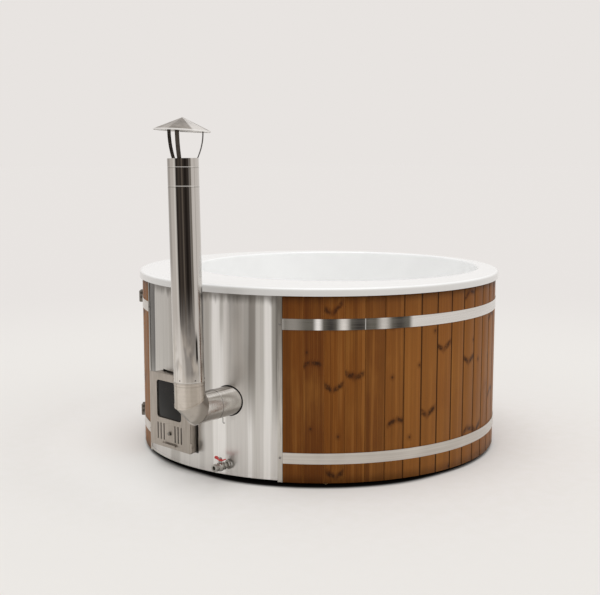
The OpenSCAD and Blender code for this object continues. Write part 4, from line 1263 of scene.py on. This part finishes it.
# the foot runs along -Y from inside the panel to the first seam
foot = tube_from(0.4, at(0, FOOT_START, 0) @ FLAT, [(0.150, 0.0016, 0.0009)])
sliced(foot, seam_at_foot())
gore = tube_from(0.6, tilt((0, seam_a, 0), 2 * MITRE) @ at(0, 0, -0.3))
sliced(gore, seam_at_foot(-SEAT / 2), True)
sliced(gore, seam_at_sleeve(-SEAT / 2))
sleeve = place(
    turned(pipe_profile(FLUE_Z - FLUE_R, ELBOW_TOP - SEAT, SPIGOT, [(ELBOW_TOP - 0.010, 0.0035, 0.0014)])),
    at(0, -FLUE_RUN, -FLUE_Z),
)
sliced(sleeve, seam_at_sleeve(), True)

# the foot and the sleeve end in a narrow lip that grips the gore
foot_lip = tube_from(0.2, at(0, seam_a + 0.1, 0) @ FLAT, grow=LIP_RISE)
sliced(foot_lip, seam_at_foot(LIP_FROM))
sliced(foot_lip, seam_at_foot(LIP_TO), True)
sleeve_lip = tube_from(0.2, at(0, -FLUE_RUN, seam_b - 0.1), grow=LIP_RISE)
sliced(sleeve_lip, seam_at_sleeve(LIP_FROM), True)
sliced(sleeve_lip, seam_at_sleeve(LIP_TO))

# a bent wire hook hangs under the foot: a round of wire is drawn down and then spun
WIRE_R, HOOK_DROP, HOOK_R = 0.0016, 0.027, 0.006
nothing_selected()
bpy.ops.mesh.primitive_circle_add(vertices=10, radius=WIRE_R, fill_type="NGON")
hook = bpy.context.object
open_mesh(hook, "SELECT")
pull((0, 0, -HOOK_DROP))
bpy.ops.mesh.spin(steps=10, angle=math.radians(150), center=(HOOK_R, 0, -HOOK_DROP), axis=(0, 1, 0))
tidy_faces()
close_mesh()
place(hook, ELBOW @ at(0, HOOK_AT, -FLUE_R + WIRE_R / 2))
finished(hook, "flue_hook", "strap_steel", rides="tub", slot="dark_steel")

joined_up(foot, foot_lip)
joined_up(sleeve, sleeve_lip)
for obj, node, finish in (
    (foot, "elbow_foot", "foot_steel"),
    (gore, "elbow_gore", "gore_steel"),
    (sleeve, "elbow_sleeve", "elbow_steel"),
):
    finished(place(obj, ELBOW), node, finish, sharp=50)

# %% [markdown]
# ## The rain cap
# A cone rolled from one sheet, with its edge turned down. Where the sheet's ends
# overlap there is a lap, a sector that stands proud by the sheet's thickness.

# %% Rain cap
LAP_AT, LAP_WIDE = 96, 14
CAP = CHIMNEY @ at(0, 0, CAP_Z) @ about_z(LEAN_AZ)
CAP = CAP @ Matrix.Rotation(math.radians(CAP_LEAN), 4, "X")
cone = turned([
    (0, CONE_H), (CAP_R - 0.002, 0.0008), (CAP_R, -0.0004), (CAP_R, -0.004),
    (CAP_R - 0.001, -0.004), (CAP_R - 0.001, -0.001), (0, CONE_H - CONE_T),
])
open_mesh(cone)
pick(lambda m: m.xy.length > 0.001 and 0 < math.degrees(math.atan2(m.y, m.x)) + LAP_AT < LAP_WIDE)
bpy.ops.transform.translate(value=(0, 0, CONE_T))
close_mesh()
finished(place(cone, CAP), "cap_cone", "cap_sheet", sharp=50)
softened("cap_straps", "strap_steel", 0.0003, segments=1)

# %% [markdown]
# ## Door, stove front and valve
# These are plates and turned parts, whose CAD shapes only lack the small rounds of
# their edges.

# %% Door and valve
for node, finish, width in (
    ("door_plate", "door_steel", 0.0010),
    ("stove_collar", "door_steel", 0.0006),
    ("door_pull", "door_steel", 0.0004),
    ("air_knob", "nickel", 0.0008),
    ("door_glass", "smoked_glass", 0.0008),
    ("valve_flange", "nickel", 0.0008),
    ("valve_body", "nickel", 0.0010),
    ("valve_handle", "red_enamel", 0.0012),
    ("handle_nut", "nickel", 0.0006),
    ("hinge_pins", "plain_steel", 0.0006),
):
    softened(node, finish, width)

# %% [markdown]
# ## The studio
# A pale floor without a horizon: the floor is large, and far away it takes the colour
# of the world behind it. Most of the light falls softly from above, as under a bright
# ceiling, with a little more from the right. Metal and glass see the pale backdrop.

# %% Floor, world and lamps
BACKDROP = linear(232, 228, 225)
AMBIENT = 0.72
# where the painted shadow under the tub fades out
SHADOW_FROM, SHADOW_TO = 0.950, 0.994
DIAGONAL = 0.707  # the picture's left and front lie between the X and Y axes

bpy.ops.object.select_all(action="DESELECT")
bpy.ops.mesh.primitive_plane_add(size=240, location=(0, 0, 0))
floor = bpy.context.object
floor.name = "floor"


def pale_floor(place):
    """Far away the floor takes the backdrop's colour, and close by it has painted light on the left.

    Under the tub it has a dark painted shadow, which reaches out a little further in front.
    """
    away = place.node("VectorMath", {0: place}, out="Value", operation="LENGTH")
    speck = noise(place, 14.0, 4.0, 0.6)
    near = mix(step(speck, 0.3, 0.7), (238, 235, 231), (240, 237, 234))
    far = (*(0.975 * v for v in BACKDROP[:3]), 1)
    open_floor = mix(step(away, 1.2, 2.4), near, (235, 232, 228))
    open_floor = mix(step(away, 2.2, 7.0), open_floor, far)
    x, y = place.parts(0, 1)
    # painted light on the floor close by on the left
    painted_light_left = step((x + y) * -DIAGONAL, 0.5, 0.95) * fade(away, 1.1, 1.7)
    open_floor = mix(painted_light_left, open_floor, (253, 251, 248))
    # the painted shadow under the tub reaches a little further out in front
    shadow_in_front = step((x - y) * DIAGONAL, 0.72, 0.95) * 0.030
    return {
        "Base Color": mix(step(away - shadow_in_front, SHADOW_FROM, SHADOW_TO), (40, 38, 36), open_floor),
        "Roughness": 0.9,
        "Specular IOR Level": 0.0,
        "Normal": bump(speck, 0.05, 0.001),
    }


floor.data.materials.append(material("floor_paint", pale_floor))

world = bpy.data.worlds.new("studio")
bpy.context.scene.world = world
world.use_nodes = True
tree = world.node_tree
tree.nodes.clear()
start = Wire(tree)
camera_ray, glossy_ray, clear_ray = (
    start.node("LightPath", out=f"Is {kind} Ray") for kind in ("Camera", "Glossy", "Transmission")
)
seen_ray = start.maths("MAXIMUM", start.maths("MAXIMUM", camera_ray, glossy_ray), clear_ray)
sky = mix(seen_ray, (AMBIENT, AMBIENT, AMBIENT, 1), BACKDROP)
light = start.node("Background", {"Color": sky, "Strength": 1.0})
out = tree.nodes.new("ShaderNodeOutputWorld")
tree.links.new(light.socket, out.inputs["Surface"])


def sun(name, direction, strength, spread):
    """A broad sun that shines from the given direction."""
    lamp = bpy.data.objects.new(name, bpy.data.lights.new(name, "SUN"))
    bpy.context.scene.collection.objects.link(lamp)
    lamp.rotation_euler = Vector(direction).to_track_quat("Z", "Y").to_euler()
    lamp.data.energy = strength
    lamp.data.angle = math.radians(spread)
    return lamp


sun("ceiling_sun", (0.12, -0.05, 1.0), 0.85, 50)
sun("right_sun", (1.0, 0.25, 0.75), 0.22, 60)

bpy.context.scene.view_settings.view_transform = "Standard"
